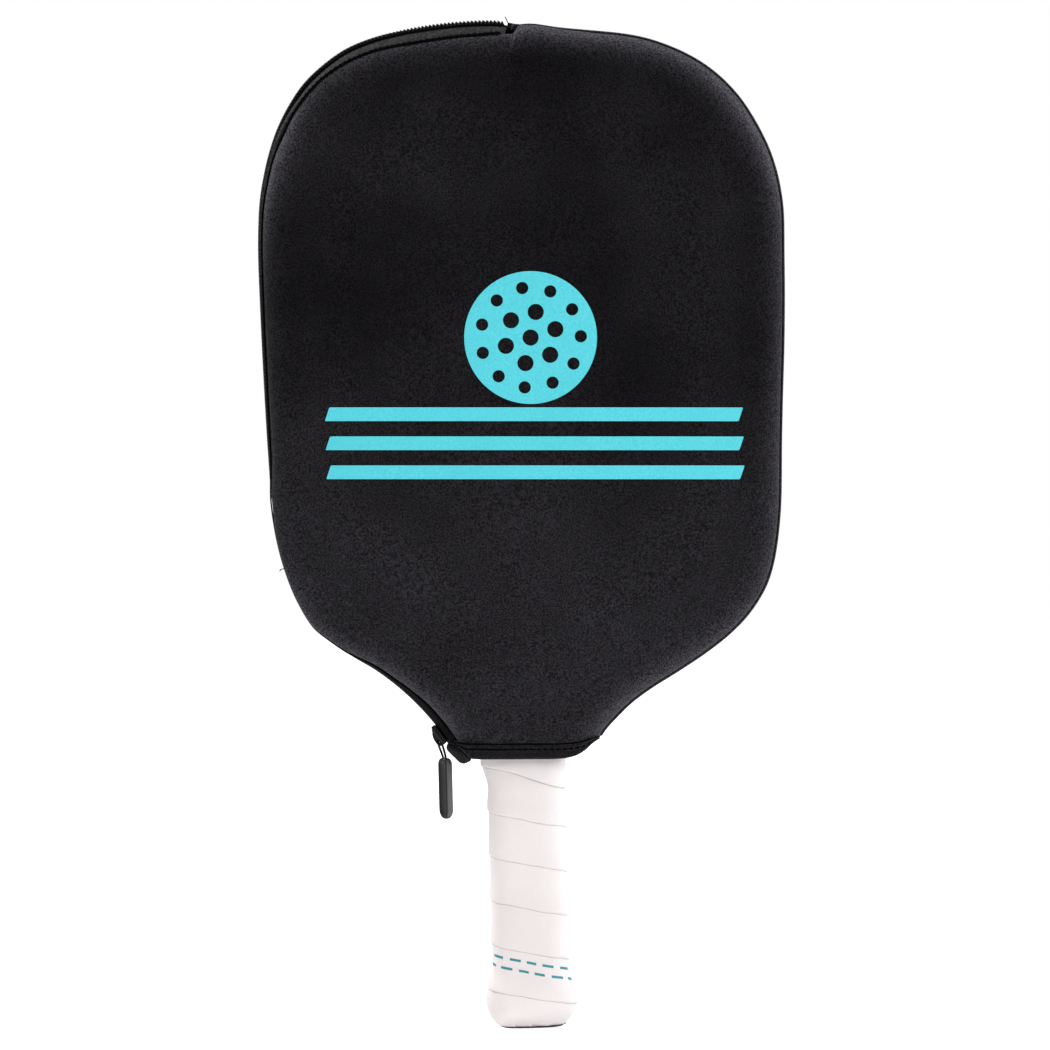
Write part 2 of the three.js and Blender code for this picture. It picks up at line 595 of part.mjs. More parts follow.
// Edge guard: a channel round the head's rim, open at the throat.
const edgeGuard = solidPlate(headShape(0), -GUARD_HALF, GUARD_HALF, GUARD_EDGE)
  .subtract(solidPlate(headShape(GUARD_RIM), -GUARD_SLOT_HALF, GUARD_SLOT_HALF))
  .subtract(solidPlate(headShape(GUARD_LIP), -40, 40))
  .intersect(paddleAbove(GUARD_BOTTOM));

// ---- handle ----
// The handle's section swept up it. `outer` and the optional bore `inner` give
// [half width, half depth] for each z.
function sweptTube(z0, z1, steps, outer, inner) {
  // The bore is first drawn this close to the outside, so that the end rings keep their
  // triangles in order when it takes its own size.
  const drawn = 0.96;
  const bore = HANDLE_SECTION.map(([x, y]) => [x * drawn, y * drawn]).reverse();
  const geometry = new THREE.ExtrudeGeometry(shapeOf(HANDLE_SECTION, inner ? [bore] : []), {
    depth: 1,
    steps,
    bevelEnabled: false,
  });
  const position = geometry.attributes.position;
  for (let i = 0; i < position.count; i++) {
    const x = position.getX(i);
    const y = position.getY(i);
    const z = z0 + (z1 - z0) * position.getZ(i);
    const onBore =
      inner && !HANDLE_SECTION.some(([a, b]) => Math.hypot(x - a, y - b) < 1e-4);
    const [halfWidth, halfDepth] = onBore ? inner(z) : outer(z);
    const scale = onBore ? 1 / drawn : 1;
    position.setXYZ(i, HANDLE_X + x * scale * halfWidth, y * scale * halfDepth, z);
  }
  return outwardSolid(geometry);
}

// Outside of the wrapped handle: it flares at the butt, widens and thins at the throat.
const flare = (z) => smooth((27 - z) / 12) * smooth((z + 8) / 10);
const thinning = (z) => smooth((z - 97) / 15);
const gripHalf = (z) => [
  lerp(HANDLE_WIDTH / 2, BUTT_WIDTH / 2, flare(z)) + smooth((z - 98) / 12),
  lerp(lerp(HANDLE_DEPTH / 2, BUTT_DEPTH / 2, flare(z)), HANDLE_TOP_HALF_DEPTH, thinning(z)),
];
const gripOffset = (offset) => (z) => gripHalf(z).map((half) => half + offset);
const coreHalf = [HANDLE_WIDTH / 2 - 2.3, HANDLE_DEPTH / 2 - 2.3];

// Inner handle, slotted for the paddle core's tongue and thinned at the top.
const tongueSlot = slab(
  [HANDLE_X - TONGUE.half - GAP, HANDLE_X + TONGUE.half + GAP],
  [-CORE_HALF - GAP, CORE_HALF + GAP],
  [TONGUE.bottom - GAP, 130],
);
const thinnedCoreHalf = (z) => [coreHalf[0], lerp(coreHalf[1], CORE_TOP_HALF_DEPTH, thinning(z))];
const handleCore = sweptTube(4, 114, 1, () => coreHalf)
  .subtract(tongueSlot)
  .intersect(sweptTube(3, 115, 8, thinnedCoreHalf));

function gripBore(z) {
  const [width, depth] = gripOffset(-GRIP_THICKNESS)(z);
  return [Math.max(coreHalf[0] + GAP, width), depth];
}
const gripWrap = sweptTube(2.3, GRIP_TOP, 20, gripHalf, gripBore);
const collar = sweptTube(GRIP_TOP + GAP, COLLAR_TOP, 3, gripOffset(-0.15), gripOffset(-1.6));
const gripBand = sweptTube(21.5, 29.5, 2, gripOffset(0.9), gripOffset(0.45));

// Butt cap: a cup round the inner handle's end, an end disc and a plug that joins them.
const buttInset = (distance) => [BUTT_WIDTH / 2 - distance, BUTT_DEPTH / 2 - distance];
const buttCap = sweptTube(2.2, 22, 6, gripOffset(-2.25))
  .subtract(sweptTube(3.7, 30, 1, () => coreHalf.map((half) => half + GAP)))
  .add(sweptTube(0, 2, 2, (z) => buttInset(1.3 - 0.5 * smooth(z / 2))))
  .add(sweptTube(1.5, 3, 1, () => buttInset(2.4)));

// ---- group and materials ----
const materials = {};
for (const [finish, [color, roughness, metalness]] of Object.entries(FINISHES))
  materials[finish] = new THREE.MeshStandardMaterial({ color, roughness, metalness });

function add(parent, name, shape, finish) {
  const geometry = shape.isBufferGeometry ? shape : geometryOf(shape);
  const mesh = new THREE.Mesh(geometry, materials[finish]);
  mesh.name = name;
  parent.add(mesh);
}
const group = new THREE.Group();
group.name = "zipped_paddle_cover";
const cover = new THREE.Group();
const flap = new THREE.Group();
const slider = new THREE.Group();
const paddle = new THREE.Group();
group.add(cover, flap, slider, paddle);

add(cover, "back_panel", biggest(backShell.intersect(aboveGroove)), "knit");
add(cover, "front_panel_fixed", biggest(frontPanel.intersect(rightOfFold)), "knit");
add(cover, "side_seam", sideSeam, "seam");
add(cover, "back_neck_hem", biggest(backShell.subtract(aboveHem)), "hem");
add(cover, "zip_tape_back", tapeBack, "tape");
add(cover, "zip_coil_back", coil(GAP / 2, COIL_HALF_DEPTH), "coil");
add(cover, "zip_top_stop", topStop, "coil");
add(cover, "zip_bottom_stop", bottomStop, "coil");
add(cover, "zip_tape_end", tapeEnd, "coil");

add(flap, "front_flap", biggest(frontPanel.intersect(leftOfFold)), "knit");
add(flap, "front_neck_hem", biggest(frontHem), "hem");
add(flap, "zip_tape_front", tapeFront, "tape");
add(flap, "zip_coil_front", coil(-COIL_HALF_DEPTH, -GAP / 2), "coil");
add(flap, "emblem_on_flap", biggest(emblem.intersect(leftOfFold)), "print");
add(cover, "emblem_fixed", biggest(emblem.intersect(rightOfFold)), "print");
STRIPES.z.forEach((z, i) => {
  add(flap, `stripe_${i + 1}_on_flap`, stripe(z).intersect(leftOfFold), "print");
  add(cover, `stripe_${i + 1}_fixed`, stripe(z).intersect(rightOfFold), "print");
});

add(slider, "slider_body", sliderBody, "slider");
add(slider, "pull_wire", wireTube(WIRE_RADIUS), "wire");
add(slider, "pull_tab", makePullTab(), "tab");

add(paddle, "paddle_core", paddleCore, "core");
add(paddle, "face_front", face(-FACE_Y - FACE_THICKNESS, -FACE_Y), "face");
add(paddle, "face_back", face(FACE_Y, FACE_Y + FACE_THICKNESS), "face");
add(paddle, "edge_guard", edgeGuard, "guard");
add(paddle, "handle_core", handleCore, "handle");
add(paddle, "grip_wrap", gripWrap, "grip");
add(paddle, "grip_collar", collar, "collar");
add(paddle, "butt_cap", buttCap, "butt");
add(paddle, "grip_band", gripBand, "band");

export default group;
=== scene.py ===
"""A paddle in a knitted cover with a zip, upright with its handle down.

The front faces -Y, the right side is +X and Z is up from the handle's butt. The zip runs from
the left of the throat up the left side and over the head. The front cloth folds away about a
line down the cover's middle. Sizes are millimetres unless a comment says metres.
"""

import math

import bmesh
import bpy
import numpy as np
from mathutils import Matrix, Vector, noise
from mathutils.bvhtree import BVHTree
from mathutils.geometry import tessellate_polygon
from mathutils.kdtree import KDTree


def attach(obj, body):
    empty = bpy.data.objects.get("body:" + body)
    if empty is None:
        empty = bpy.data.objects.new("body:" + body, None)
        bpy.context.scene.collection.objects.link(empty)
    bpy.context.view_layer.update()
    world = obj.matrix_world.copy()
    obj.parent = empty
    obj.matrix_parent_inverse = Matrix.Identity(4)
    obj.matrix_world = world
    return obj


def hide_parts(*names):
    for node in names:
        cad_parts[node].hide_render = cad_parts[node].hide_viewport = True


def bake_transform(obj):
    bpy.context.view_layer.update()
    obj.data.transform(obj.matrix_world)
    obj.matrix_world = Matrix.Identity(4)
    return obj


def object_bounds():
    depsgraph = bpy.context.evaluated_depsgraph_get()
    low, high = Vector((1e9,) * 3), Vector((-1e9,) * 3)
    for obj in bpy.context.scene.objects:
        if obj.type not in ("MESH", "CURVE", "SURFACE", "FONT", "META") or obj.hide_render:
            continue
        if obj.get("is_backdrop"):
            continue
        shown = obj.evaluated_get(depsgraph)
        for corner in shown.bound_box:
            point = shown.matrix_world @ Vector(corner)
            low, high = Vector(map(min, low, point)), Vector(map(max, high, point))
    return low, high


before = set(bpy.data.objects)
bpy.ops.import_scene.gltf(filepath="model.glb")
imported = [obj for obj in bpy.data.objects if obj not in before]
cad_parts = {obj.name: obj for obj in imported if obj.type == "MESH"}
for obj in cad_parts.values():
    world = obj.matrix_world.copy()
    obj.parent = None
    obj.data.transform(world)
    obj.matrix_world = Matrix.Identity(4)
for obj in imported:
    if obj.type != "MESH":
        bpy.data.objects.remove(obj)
cad_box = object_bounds()
scene = bpy.context.scene
MM = 0.001  # metres in a millimetre

# ---------------------------------------------------------------- driving sizes
# The outline's lower left stretch is an arc, then free points (x, z) follow.
ARC_CENTRE = np.array([-126.5, 57.8])
ARC_RADIUS = 109.3
ARC_FROM, ARC_TO = 22, 61  # degrees
LEFT_FREE = [
    (-84.9, 161.8), (-90.0, 167.3), (-95.4, 177.4), (-99.2, 187.6), (-102.0, 198.2),
    (-103.9, 209.5), (-104.95, 221.3), (-105.5, 240.9), (-106.15, 260.6), (-106.7, 280.3),
    (-107.1, 300), (-107.3, 317), (-106.95, 329.5), (-106.1, 340.3), (-104.3, 350.3),
    (-101.7, 360.3), (-98.2, 369.8), (-93.4, 379), (-87.0, 388), (-79.0, 395.4),
    (-69.6, 401.7), (-59, 405.9), (-46.4, 408.9), (-34, 410.7), (-22, 411.7), (-11, 411.9),
    (-4, 411.2),
]
RIGHT_FREE = [
    (8, 409.9), (18.8, 408.1), (31, 406.7), (43.3, 405.2), (53, 403.2), (62, 400.1),
    (70.5, 396.1), (78.5, 391), (85.3, 385.1), (91.4, 378.1), (96.3, 370.6), (100.4, 362.8),
    (103.7, 355), (106.2, 346.3), (107.8, 337), (108.4, 328), (108.2, 314), (107.9, 296),
    (107.2, 276), (106.1, 255.3), (105.2, 235.6), (104.5, 215), (103.3, 201.5),
    (101.3, 189.5), (98.4, 179.8), (94.2, 172), (88.6, 164.7), (81.15, 157.6),
    (71.5, 150.5), (60.2, 143.4), (50, 137.4), (41.5, 131.5), (34.6, 125.1), (29.4, 119.4),
    (26.4, 113), (25, 104), (24.6, 94),
]
ZIP_TOP = (2.2, 409.8)
# Insets from the left chain: (share of its length, inset)
SEAM_INSET = [
    (0, 4.2), (0.08, 3.8), (0.14, 2.2), (0.2, 0.6), (0.235, 0.2), (0.32, 0.2), (0.35, 0.9),
    (0.4, 2.0), (0.5, 2.2), (0.62, 2.3), (0.68, 2.9), (0.73, 4.4), (0.78, 5.8), (0.84, 7.0),
    (0.9, 7.8), (0.96, 7.4), (1, 4.2),
]
COIL_INSET = [(0, 0.1), (0.2, 0.1), (0.25, 1.6), (0.32, 1.6), (0.37, 0.3), (0.42, 0), (1, 0)]
# Lines across the neck, (x, z): the panels' lower edge and the hem's lower edge
GROOVE = [
    (-62, 118.9), (-36, 117.5), (-25, 116.7), (-6, 116.2), (10, 115.9), (19, 116.4),
    (28, 118.3), (60, 123),
]
HEM_BOTTOM = [
    (-62, 138), (-47, 124), (-38.6, 115.6), (-32.6, 112.2), (-25, 110.7), (-16, 110.3),
    (0, 110), (11, 109.9), (17.4, 110.9), (21.6, 112.9), (25.2, 115.8), (28.4, 117.6),
    (36, 121), (60, 132),
]
HALF_DEPTH = 11.6  # of the cover's outside
INNER_HALF_DEPTH = 8.7
BULGE, BULGE_TOP, BULGE_FULL = 0.36, 168.0, 112  # extra share of depth, and where it grows
EDGE_Y = 3.5  # depth of the cloth's edge beside the zip
Z_LOW = 116.3  # the panels' level lower end
Z_FAN = 365.0  # above this the panel lines fan out
SPINE_TOP = 330.0  # height the fan starts from
LOW_BLEND = 22  # height over which the panels settle above the neck
WALL = 2.4


# ---------------------------------------------------------------- curves and noise
def smooth(part):
    part = np.clip(part, 0.0, 1.0)
    return part * part * (3 - 2 * part)


def spline(points, count=4000):
    """A uniform Catmull-Rom curve through the points, densely sampled."""
    points = np.array(points, float)
    total = len(points)
    place = np.linspace(0, total - 1 - 1e-9, count)
    i = np.floor(place).astype(int)
    part = (place - i)[:, None]
    before, here, there, after = (
        points[np.clip(i + k, 0, total - 1)] for k in (-1, 0, 1, 2)
    )
    leave, arrive = (there - before) * 0.5, (after - here) * 0.5
    return (
        (2 * here - 2 * there + leave + arrive) * part**3
        + (-3 * here + 3 * there - 2 * leave - arrive) * part**2
        + leave * part
        + here
    )


def arc_lengths(points):
    steps = np.linalg.norm(np.diff(points, axis=0), axis=1)
    return np.concatenate([[0], np.cumsum(steps)])


class Chain:
    """A stretch of the outline in (x, z); a share is a place by part of its length."""

    def __init__(self, points):
        self.points = spline(points)
        self.arc = arc_lengths(self.points)
        self.length = self.arc[-1]
        reach = 25  # samples either side in the tangents' running mean
        ahead = np.gradient(self.points, axis=0)
        padded = np.pad(ahead, ((reach, reach), (0, 0)), mode="edge")
        mean = np.ones(2 * reach + 1) / (2 * reach + 1)
        ahead = np.stack([np.convolve(padded[:, j], mean, "valid") for j in (0, 1)], 1)
        self.ahead = ahead / np.linalg.norm(ahead, axis=1)[:, None]

    def at(self, share):
        """Points and their inward normals."""
        arc = np.asarray(share, float) * self.length
        point, ahead = (
            np.stack([np.interp(arc, self.arc, line[:, j]) for j in (0, 1)], -1)
            for line in (self.points, self.ahead)
        )
        ahead = ahead / np.linalg.norm(ahead, axis=-1, keepdims=True)
        return point, np.stack([ahead[..., 1], -ahead[..., 0]], -1)

    def inset(self, share, distance, y):
        """3-D points a distance inside the chain, at depth y."""
        point, inward = self.at(share)
        point = point + inward * np.asarray(distance)[..., None]
        x, z = point[..., 0], point[..., 1]
        return np.stack([x, np.broadcast_to(y, x.shape), z], -1)

    def share_at_z(self, z):
        """Shares at heights z, on the stretch that only rises or only falls."""
        top = int(np.argmax(self.points[:, 1]))
        heights, arc = self.points[: top + 1, 1], self.arc[: top + 1]
        if self.points[-1, 1] < self.points[0, 1]:
            heights, arc = self.points[top:, 1][::-1], self.arc[top:][::-1]
        heights = np.maximum.accumulate(heights + np.arange(len(heights)) * 1e-9)
        return np.interp(z, heights, arc) / self.length


def eased(rows, place):
    """Values from a table of (place, value) rows, eased between them."""
    places, values = np.array(rows).T
    place = np.clip(np.asarray(place, float), 0, 1)
    i = np.clip(np.searchsorted(places, place, side="right") - 1, 0, len(places) - 2)
    part = smooth((place - places[i]) / (places[i + 1] - places[i]))
    return values[i] + (values[i + 1] - values[i]) * part


def polar(radius, degrees):
    """A point (x, z) round the centre of the outline's arc."""
    angle = math.radians(degrees)
    return ARC_CENTRE + radius * np.array([math.cos(angle), math.sin(angle)])


def arc_points(radius, start, end, count):
    return [polar(radius, degrees) for degrees in np.linspace(start, end, count)]


LEFT = Chain(arc_points(ARC_RADIUS, ARC_FROM, ARC_TO, 7) + LEFT_FREE + [ZIP_TOP])
RIGHT = Chain([ZIP_TOP] + RIGHT_FREE)
groove = spline(GROOVE)
hem_bottom = spline(HEM_BOTTOM)


def swell(z):
    """How much deeper the cover is towards the throat."""
    rise = (BULGE_TOP - np.asarray(z, float)) / (BULGE_TOP - BULGE_FULL)
    return 1 + BULGE * smooth(rise)


def ripple(x, y, z):
    """Two octaves of noise."""
    octave = 2.03
    return noise.noise(Vector((x, y, z))) + 0.5 * noise.noise(
        Vector((x * octave, y * octave, z * octave))
    )


# ---------------------------------------------------------------- mesh helpers
def add_object(name, data):
    item = bpy.data.objects.new(name, data)
    scene.collection.objects.link(item)
    return item


def store(edit, mesh):
    """Write an edited bmesh back, shaded smooth."""
    edit.to_mesh(mesh)
    edit.free()
    mesh.polygons.foreach_set("use_smooth", [True] * len(mesh.polygons))


def make(name, verts, faces, material, scale=MM, weld=None, sharp=None):
    """An object; weld is a distance in the verts' units, sharp an angle in degrees."""
    mesh = bpy.data.meshes.new(name)
    mesh.from_pydata((np.reshape(verts, (-1, 3)) * scale).tolist(), [], faces)
    edit = bmesh.new()
    edit.from_mesh(mesh)
    if weld:
        bmesh.ops.remove_doubles(edit, verts=edit.verts, dist=weld * scale)
    bmesh.ops.dissolve_degenerate(edit, edges=edit.edges, dist=1e-7)
    bmesh.ops.recalc_face_normals(edit, faces=edit.faces)
    store(edit, mesh)
    mesh.update()
    item = add_object(name, mesh)
    if material:
        mesh.materials.append(material)
    if sharp:
        mesh.set_sharp_from_angle(angle=math.radians(sharp))
    return item


def grid_faces(rows, cols, wrap_rows=False, wrap_cols=False):
    i, j = np.meshgrid(
        np.arange(rows if wrap_rows else rows - 1),
        np.arange(cols if wrap_cols else cols - 1),
        indexing="ij",
    )
    i, j = i.ravel(), j.ravel()
    below, beside = (i + 1) % rows, (j + 1) % cols
    corners = [i * cols + j, i * cols + beside, below * cols + beside, below * cols + j]
    return np.stack(corners, 1).tolist()


def capped_faces(rows, cols, flip=None, wrap=True):
    """Grid faces with the first and last rows closed; flip turns cap 0 or 1 over."""
    caps = [list(range(cols)), list(range((rows - 1) * cols, rows * cols))]
    if flip is not None:
        caps[flip].reverse()
    return grid_faces(rows, cols, wrap_cols=wrap) + caps


class Parts:
    """Collects verts and faces for one mesh."""

    def __init__(self):
        self.verts, self.faces = [], []

    def add(self, verts, faces):
        start = len(self.verts)
        self.verts.extend(np.reshape(verts, (-1, 3)).tolist())
        self.faces.extend([[i + start for i in face] for face in faces])

    def make(self, name, material, sharp=None):
        return make(name, self.verts, self.faces, material, sharp=sharp)

    def tube(self, path, radius, sides):
        """A round tube along 3-D points; radius is one number or one for each point."""
        path = np.array(path, float)
        count = len(path)
        ahead = np.gradient(path, axis=0)
        ahead /= np.linalg.norm(ahead, axis=1)[:, None] + 1e-12
        across = np.array([0.0, 1.0, 0.0]) if abs(ahead[0][1]) < 0.9 else np.array([1.0, 0, 0])
        side = np.cross(ahead[0], across)
        side /= np.linalg.norm(side)
        radius = np.broadcast_to(np.asarray(radius, float), (count,))
        angle = np.arange(sides) * 2 * np.pi / sides
        cos, sin = np.cos(angle)[:, None], np.sin(angle)[:, None]
        rings = []
        for k in range(count):
            side = side - ahead[k] * (side @ ahead[k])
            side /= np.linalg.norm(side)
            rings.append(path[k] + radius[k] * (cos * side + sin * np.cross(ahead[k], side)))
        self.add(rings, capped_faces(count, sides, flip=0))

    def blob(self, centre, axes, around=8, bands=6):
        """An ellipsoid with three axis vectors."""
        centre = np.array(centre, float)
        first, second, pole = np.array(axes, float)
        verts = [centre + pole]
        for i in range(1, bands):
            tilt = math.pi * i / bands
            for j in range(around):
                turn = 2 * math.pi * j / around
                verts.append(
                    centre
                    + first * math.sin(tilt) * math.cos(turn)
                    + second * math.sin(tilt) * math.sin(turn)
                    + pole * math.cos(tilt)
                )
        verts.append(centre - pole)
        faces = [(0, 1 + j, 1 + (j + 1) % around) for j in range(around)]
        for i in range(bands - 2):
            for j in range(around):
                here = 1 + i * around + j
                beside = 1 + i * around + (j + 1) % around
                faces.append((here, here + around, beside + around, beside))
        last = len(verts) - 1
        base = 1 + (bands - 2) * around
        faces += [(last, base + (j + 1) % around, base + j) for j in range(around)]
        self.add(verts, faces)


# ---------------------------------------------------------------- materials (metres)
def srgb(*channels):
    """A linear colour from 0-255 channels."""
    def linear(value):
        return value / 12.92 if value <= 0.04045 else ((value + 0.055) / 1.055) ** 2.4

    return (*(linear(channel / 255) for channel in channels), 1.0)


class Shader:
    """A material on one Principled node, with short calls for the nodes that feed it."""

    def __init__(self, name):
        self.material = bpy.data.materials.new(name)
        self.material.use_nodes = True
        self.tree = self.material.node_tree
        self.tree.nodes.clear()
        output = self.node("ShaderNodeOutputMaterial")
        self.surface = self.node("ShaderNodeBsdfPrincipled")
        self.feed(output.inputs["Surface"], self.surface.outputs[0])
        self.place = self.node("ShaderNodeTexCoord").outputs["Object"]

    def feed(self, socket, value):
        """Link a socket, or set a plain value."""
        if isinstance(value, bpy.types.NodeSocket):
            self.tree.links.new(value, socket)
        else:
            socket.default_value = value

    def node(self, kind, inputs=None, **settings):
        node = self.tree.nodes.new(kind)
        for key, value in settings.items():
            setattr(node, key, value)
        for key, value in (inputs or {}).items():
            self.feed(node.inputs[key], value)
        return node

    def finish(self, inputs):
        """Feed the Principled node."""
        for key, value in inputs.items():
            self.feed(self.surface.inputs[key], value)
        return self.material

    def noise(self, scale, detail=3, rough=0.55):
        inputs = {"Vector": self.place, "Scale": scale, "Detail": detail, "Roughness": rough}
        return self.node("ShaderNodeTexNoise", inputs).outputs[0]

    def wave(self, scale, axis, distortion, detail_scale=1.0):
        inputs = {
            "Vector": self.place, "Scale": scale, "Distortion": distortion,
            "Detail": 1.0, "Detail Scale": detail_scale,
        }
        return self.node("ShaderNodeTexWave", inputs, bands_direction=axis).outputs["Fac"]

    def ramp(self, value, *stops):
        """Two stops of (position, colour or grey level)."""
        node = self.node("ShaderNodeValToRGB", {0: value})
        for element, (position, colour) in zip(node.color_ramp.elements, stops):
            element.position = position
            element.color = colour if isinstance(colour, tuple) else (*(colour,) * 3, 1)
        return node.outputs[0]

    def math(self, operation, first, second):
        inputs = {0: first, 1: second}
        return self.node("ShaderNodeMath", inputs, operation=operation).outputs[0]

    def mix(self, factor, first, second):
        inputs = {"Factor": factor, 6: first, 7: second}
        return self.node("ShaderNodeMix", inputs, data_type="RGBA").outputs[2]

    def bump(self, height, strength, distance=0.0002):
        inputs = {"Height": height, "Strength": strength, "Distance": distance}
        return self.node("ShaderNodeBump", inputs).outputs[0]

    def axes(self):
        return self.node("ShaderNodeSeparateXYZ", {0: self.place}).outputs

    def ease(self, value, start, end, low, high):
        """From low at start to high at end, eased."""
        inputs = {
            "Value": value, "From Min": start, "From Max": end, "To Min": low, "To Max": high,
        }
        node = self.node("ShaderNodeMapRange", inputs, interpolation_type="SMOOTHSTEP")
        return node.outputs[0]


def knit(name, dark, light, pale_dark, pale_light):
    shader = Shader(name)
    fine = shader.noise(scale=1400, detail=2, rough=0.7)
    middling = shader.noise(scale=420, detail=3, rough=0.65)
    broad = shader.noise(scale=17, detail=3, rough=0.5)
    # loops of yarn: some catch the light, most stay dark
    loops = shader.math(
        "ADD", shader.math("MULTIPLY", fine, 0.85), shader.math("MULTIPLY", middling, 0.15)
    )
    grain = shader.ramp(loops, (0.39, 0), (0.63, 1))
    # painted paleness: paler low over the throat, and a painted sheen where the cloth is seen
    # edge on, strongest on the right, over the head and at the throat
    axes = shader.axes()
    low = shader.ease(axes["Z"], start=0.31, end=0.15, low=0.0, high=0.16)
    facing = shader.node("ShaderNodeLayerWeight", {"Blend": 0.5}).outputs["Facing"]
    edge = shader.math("POWER", facing, 0.9)
    right = shader.ease(axes["X"], start=-0.04, end=0.05, low=0.25, high=0.62)
    head = shader.ease(axes["Z"], start=0.30, end=0.375, low=0.25, high=1.9)
    throat = shader.ease(axes["Z"], start=0.165, end=0.215, low=0.75, high=0.25)
    sheen_zone = shader.math("MAXIMUM", right, shader.math("MAXIMUM", head, throat))
    edge = shader.math("MULTIPLY", edge, sheen_zone)
    patch = shader.ramp(broad, (0.35, 0), (0.7, 0.14))
    pale = shader.math("ADD", low, shader.math("MULTIPLY", edge, 1.15))
    pale = shader.math("MINIMUM", shader.math("ADD", pale, patch), 1.0)
    wales = shader.wave(scale=330, axis="X", distortion=0.6, detail_scale=3)
    courses = shader.wave(scale=260, axis="Z", distortion=1.2, detail_scale=3)
    stitches = shader.math("MULTIPLY", shader.math("MULTIPLY", wales, courses), 0.7)
    height = shader.math("ADD", stitches, shader.math("MULTIPLY", fine, 0.8))
    return shader.finish({
        "Base Color": shader.mix(
            grain,
            shader.mix(pale, srgb(*dark), srgb(*pale_dark)),
            shader.mix(pale, srgb(*light), srgb(*pale_light)),
        ),
        "Roughness": 0.92,
        "Specular IOR Level": 0.06,
        "Sheen Weight": 0.02,
        "Sheen Roughness": 0.4,
        "Sheen Tint": (0.88, 0.88, 1.0, 1),
        "Normal": shader.bump(height, strength=0.5),
    })


def woven_tape():
    shader = Shader("woven_tape")
    weave = shader.math(
        "MULTIPLY",
        shader.wave(scale=560, axis="X", distortion=1.0, detail_scale=3),
        shader.wave(scale=560, axis="Z", distortion=1.0, detail_scale=3),
    )
    fibres = shader.noise(scale=900, detail=3, rough=0.6)
    colour = shader.ramp(fibres, (0.36, srgb(9, 9, 10)), (0.64, srgb(60, 60, 62)))
    # darker below the head
    low = shader.ease(shader.axes()["Z"], start=0.335, end=0.29, low=0.0, high=0.86)
    colour = shader.mix(low, colour, srgb(7, 7, 8))
    return shader.finish({
        "Base Color": shader.mix(shader.math("MULTIPLY", weave, 0.4), colour, srgb(9, 9, 10)),
        "Roughness": 0.8,
        "Specular IOR Level": 0.12,
        "Sheen Weight": 0.04,
        "Sheen Roughness": 0.5,
        "Normal": shader.bump(shader.math("ADD", weave, fibres), strength=0.5),
    })


def plastic(name, colour, rough, mottle, relief, grain, specular):
    shader = Shader(name)
    fine = shader.noise(scale=grain)
    patches = shader.noise(scale=60, detail=2, rough=0.5)
    base = srgb(*colour)[:3]
    dark = tuple(c * (1 - mottle) for c in base) + (1,)
    light = tuple(min(1, c * (1 + mottle)) for c in base) + (1,)
    shader.finish({
        "Base Color": shader.ramp(patches, (0.35, dark), (0.65, light)),
        "Roughness": shader.ramp(fine, (0.3, rough * 0.85), (0.7, min(1, rough * 1.15))),
        "Specular IOR Level": specular,
        "Coat Roughness": 0.2,
        "Normal": shader.bump(fine, strength=relief, distance=0.0001),
    })
    return shader


def paint_tab_highlight(shader):
    """Paint a highlight on the pull tab: faces turned towards its front edge are painted paler.
    """
    front_edge = (0.5, -0.866, 0.0)  # direction that edge faces
    normal = shader.node("ShaderNodeTexCoord").outputs["Normal"]
    inputs = {0: normal, 1: front_edge}
    facing = shader.node("ShaderNodeVectorMath", inputs, operation="DOT_PRODUCT")
    weight = shader.ramp(facing.outputs["Value"], (0.45, 0), (0.8, 1))
    plain = shader.surface.inputs["Base Color"].links[0].from_socket
    shader.finish({"Base Color": shader.mix(weight, plain, srgb(98, 98, 100))})


def grip_wrap():
    shader = Shader("grip_wrap")
    inputs = {"Vector": shader.place, "Scale": 900}
    pores = shader.node("ShaderNodeTexVoronoi", inputs, feature="F1").outputs["Distance"]
    fine = shader.noise(scale=1300, detail=2, rough=0.6)
    broad = shader.noise(scale=30, detail=3, rough=0.5)
    colour = shader.ramp(broad, (0.35, srgb(242, 234, 233)), (0.65, srgb(247, 241, 240)))
    # painted shade: the grip is darkened a little in its pores
    pore_shade = shader.math("SUBTRACT", 1.0, shader.math("MULTIPLY", pores, 1.0))
    height = shader.math("ADD", shader.math("MULTIPLY", pores, 0.7), fine)
    return shader.finish({
        "Base Color": shader.mix(
            shader.math("MULTIPLY", pore_shade, 0.05), colour, srgb(196, 184, 182)
        ),
        "Roughness": 0.62,
        "Specular IOR Level": 0.35,
        "Subsurface Weight": 0.08,
        "Subsurface Radius": (0.002, 0.001, 0.001),
        "Sheen Weight": 0.1,
        "Normal": shader.bump(height, strength=0.22, distance=0.00012),
    })


def print_ink():
    shader = Shader("print_ink")
    fine = shader.noise(scale=1400, detail=2, rough=0.6)
    broad = shader.noise(scale=35, detail=3, rough=0.5)
    colour = shader.ramp(fine, (0.25, srgb(78, 208, 222)), (0.7, srgb(100, 226, 238)))
    patch = shader.ramp(broad, (0.45, 0), (0.75, 0.35))
    return shader.finish({
        "Base Color": shader.mix(patch, colour, srgb(70, 200, 216)),
        "Roughness": 0.55,
        "Specular IOR Level": 0.3,
        "Normal": shader.bump(fine, strength=0.25, distance=0.0001),
    })


def band_ink(ink):
    """The print's ink with its main colours darkened."""
    darker = 0.42
    material = ink.copy()
    material.name = "band_ink"
    for node in material.node_tree.nodes:
        # only the coloured ramp starts with this much green
        if node.type == "VALTORGB" and node.color_ramp.elements[0].color[1] > 0.3:
            for element in node.color_ramp.elements:
                element.color = tuple(c * darker for c in element.color[:3]) + (1,)
    return material


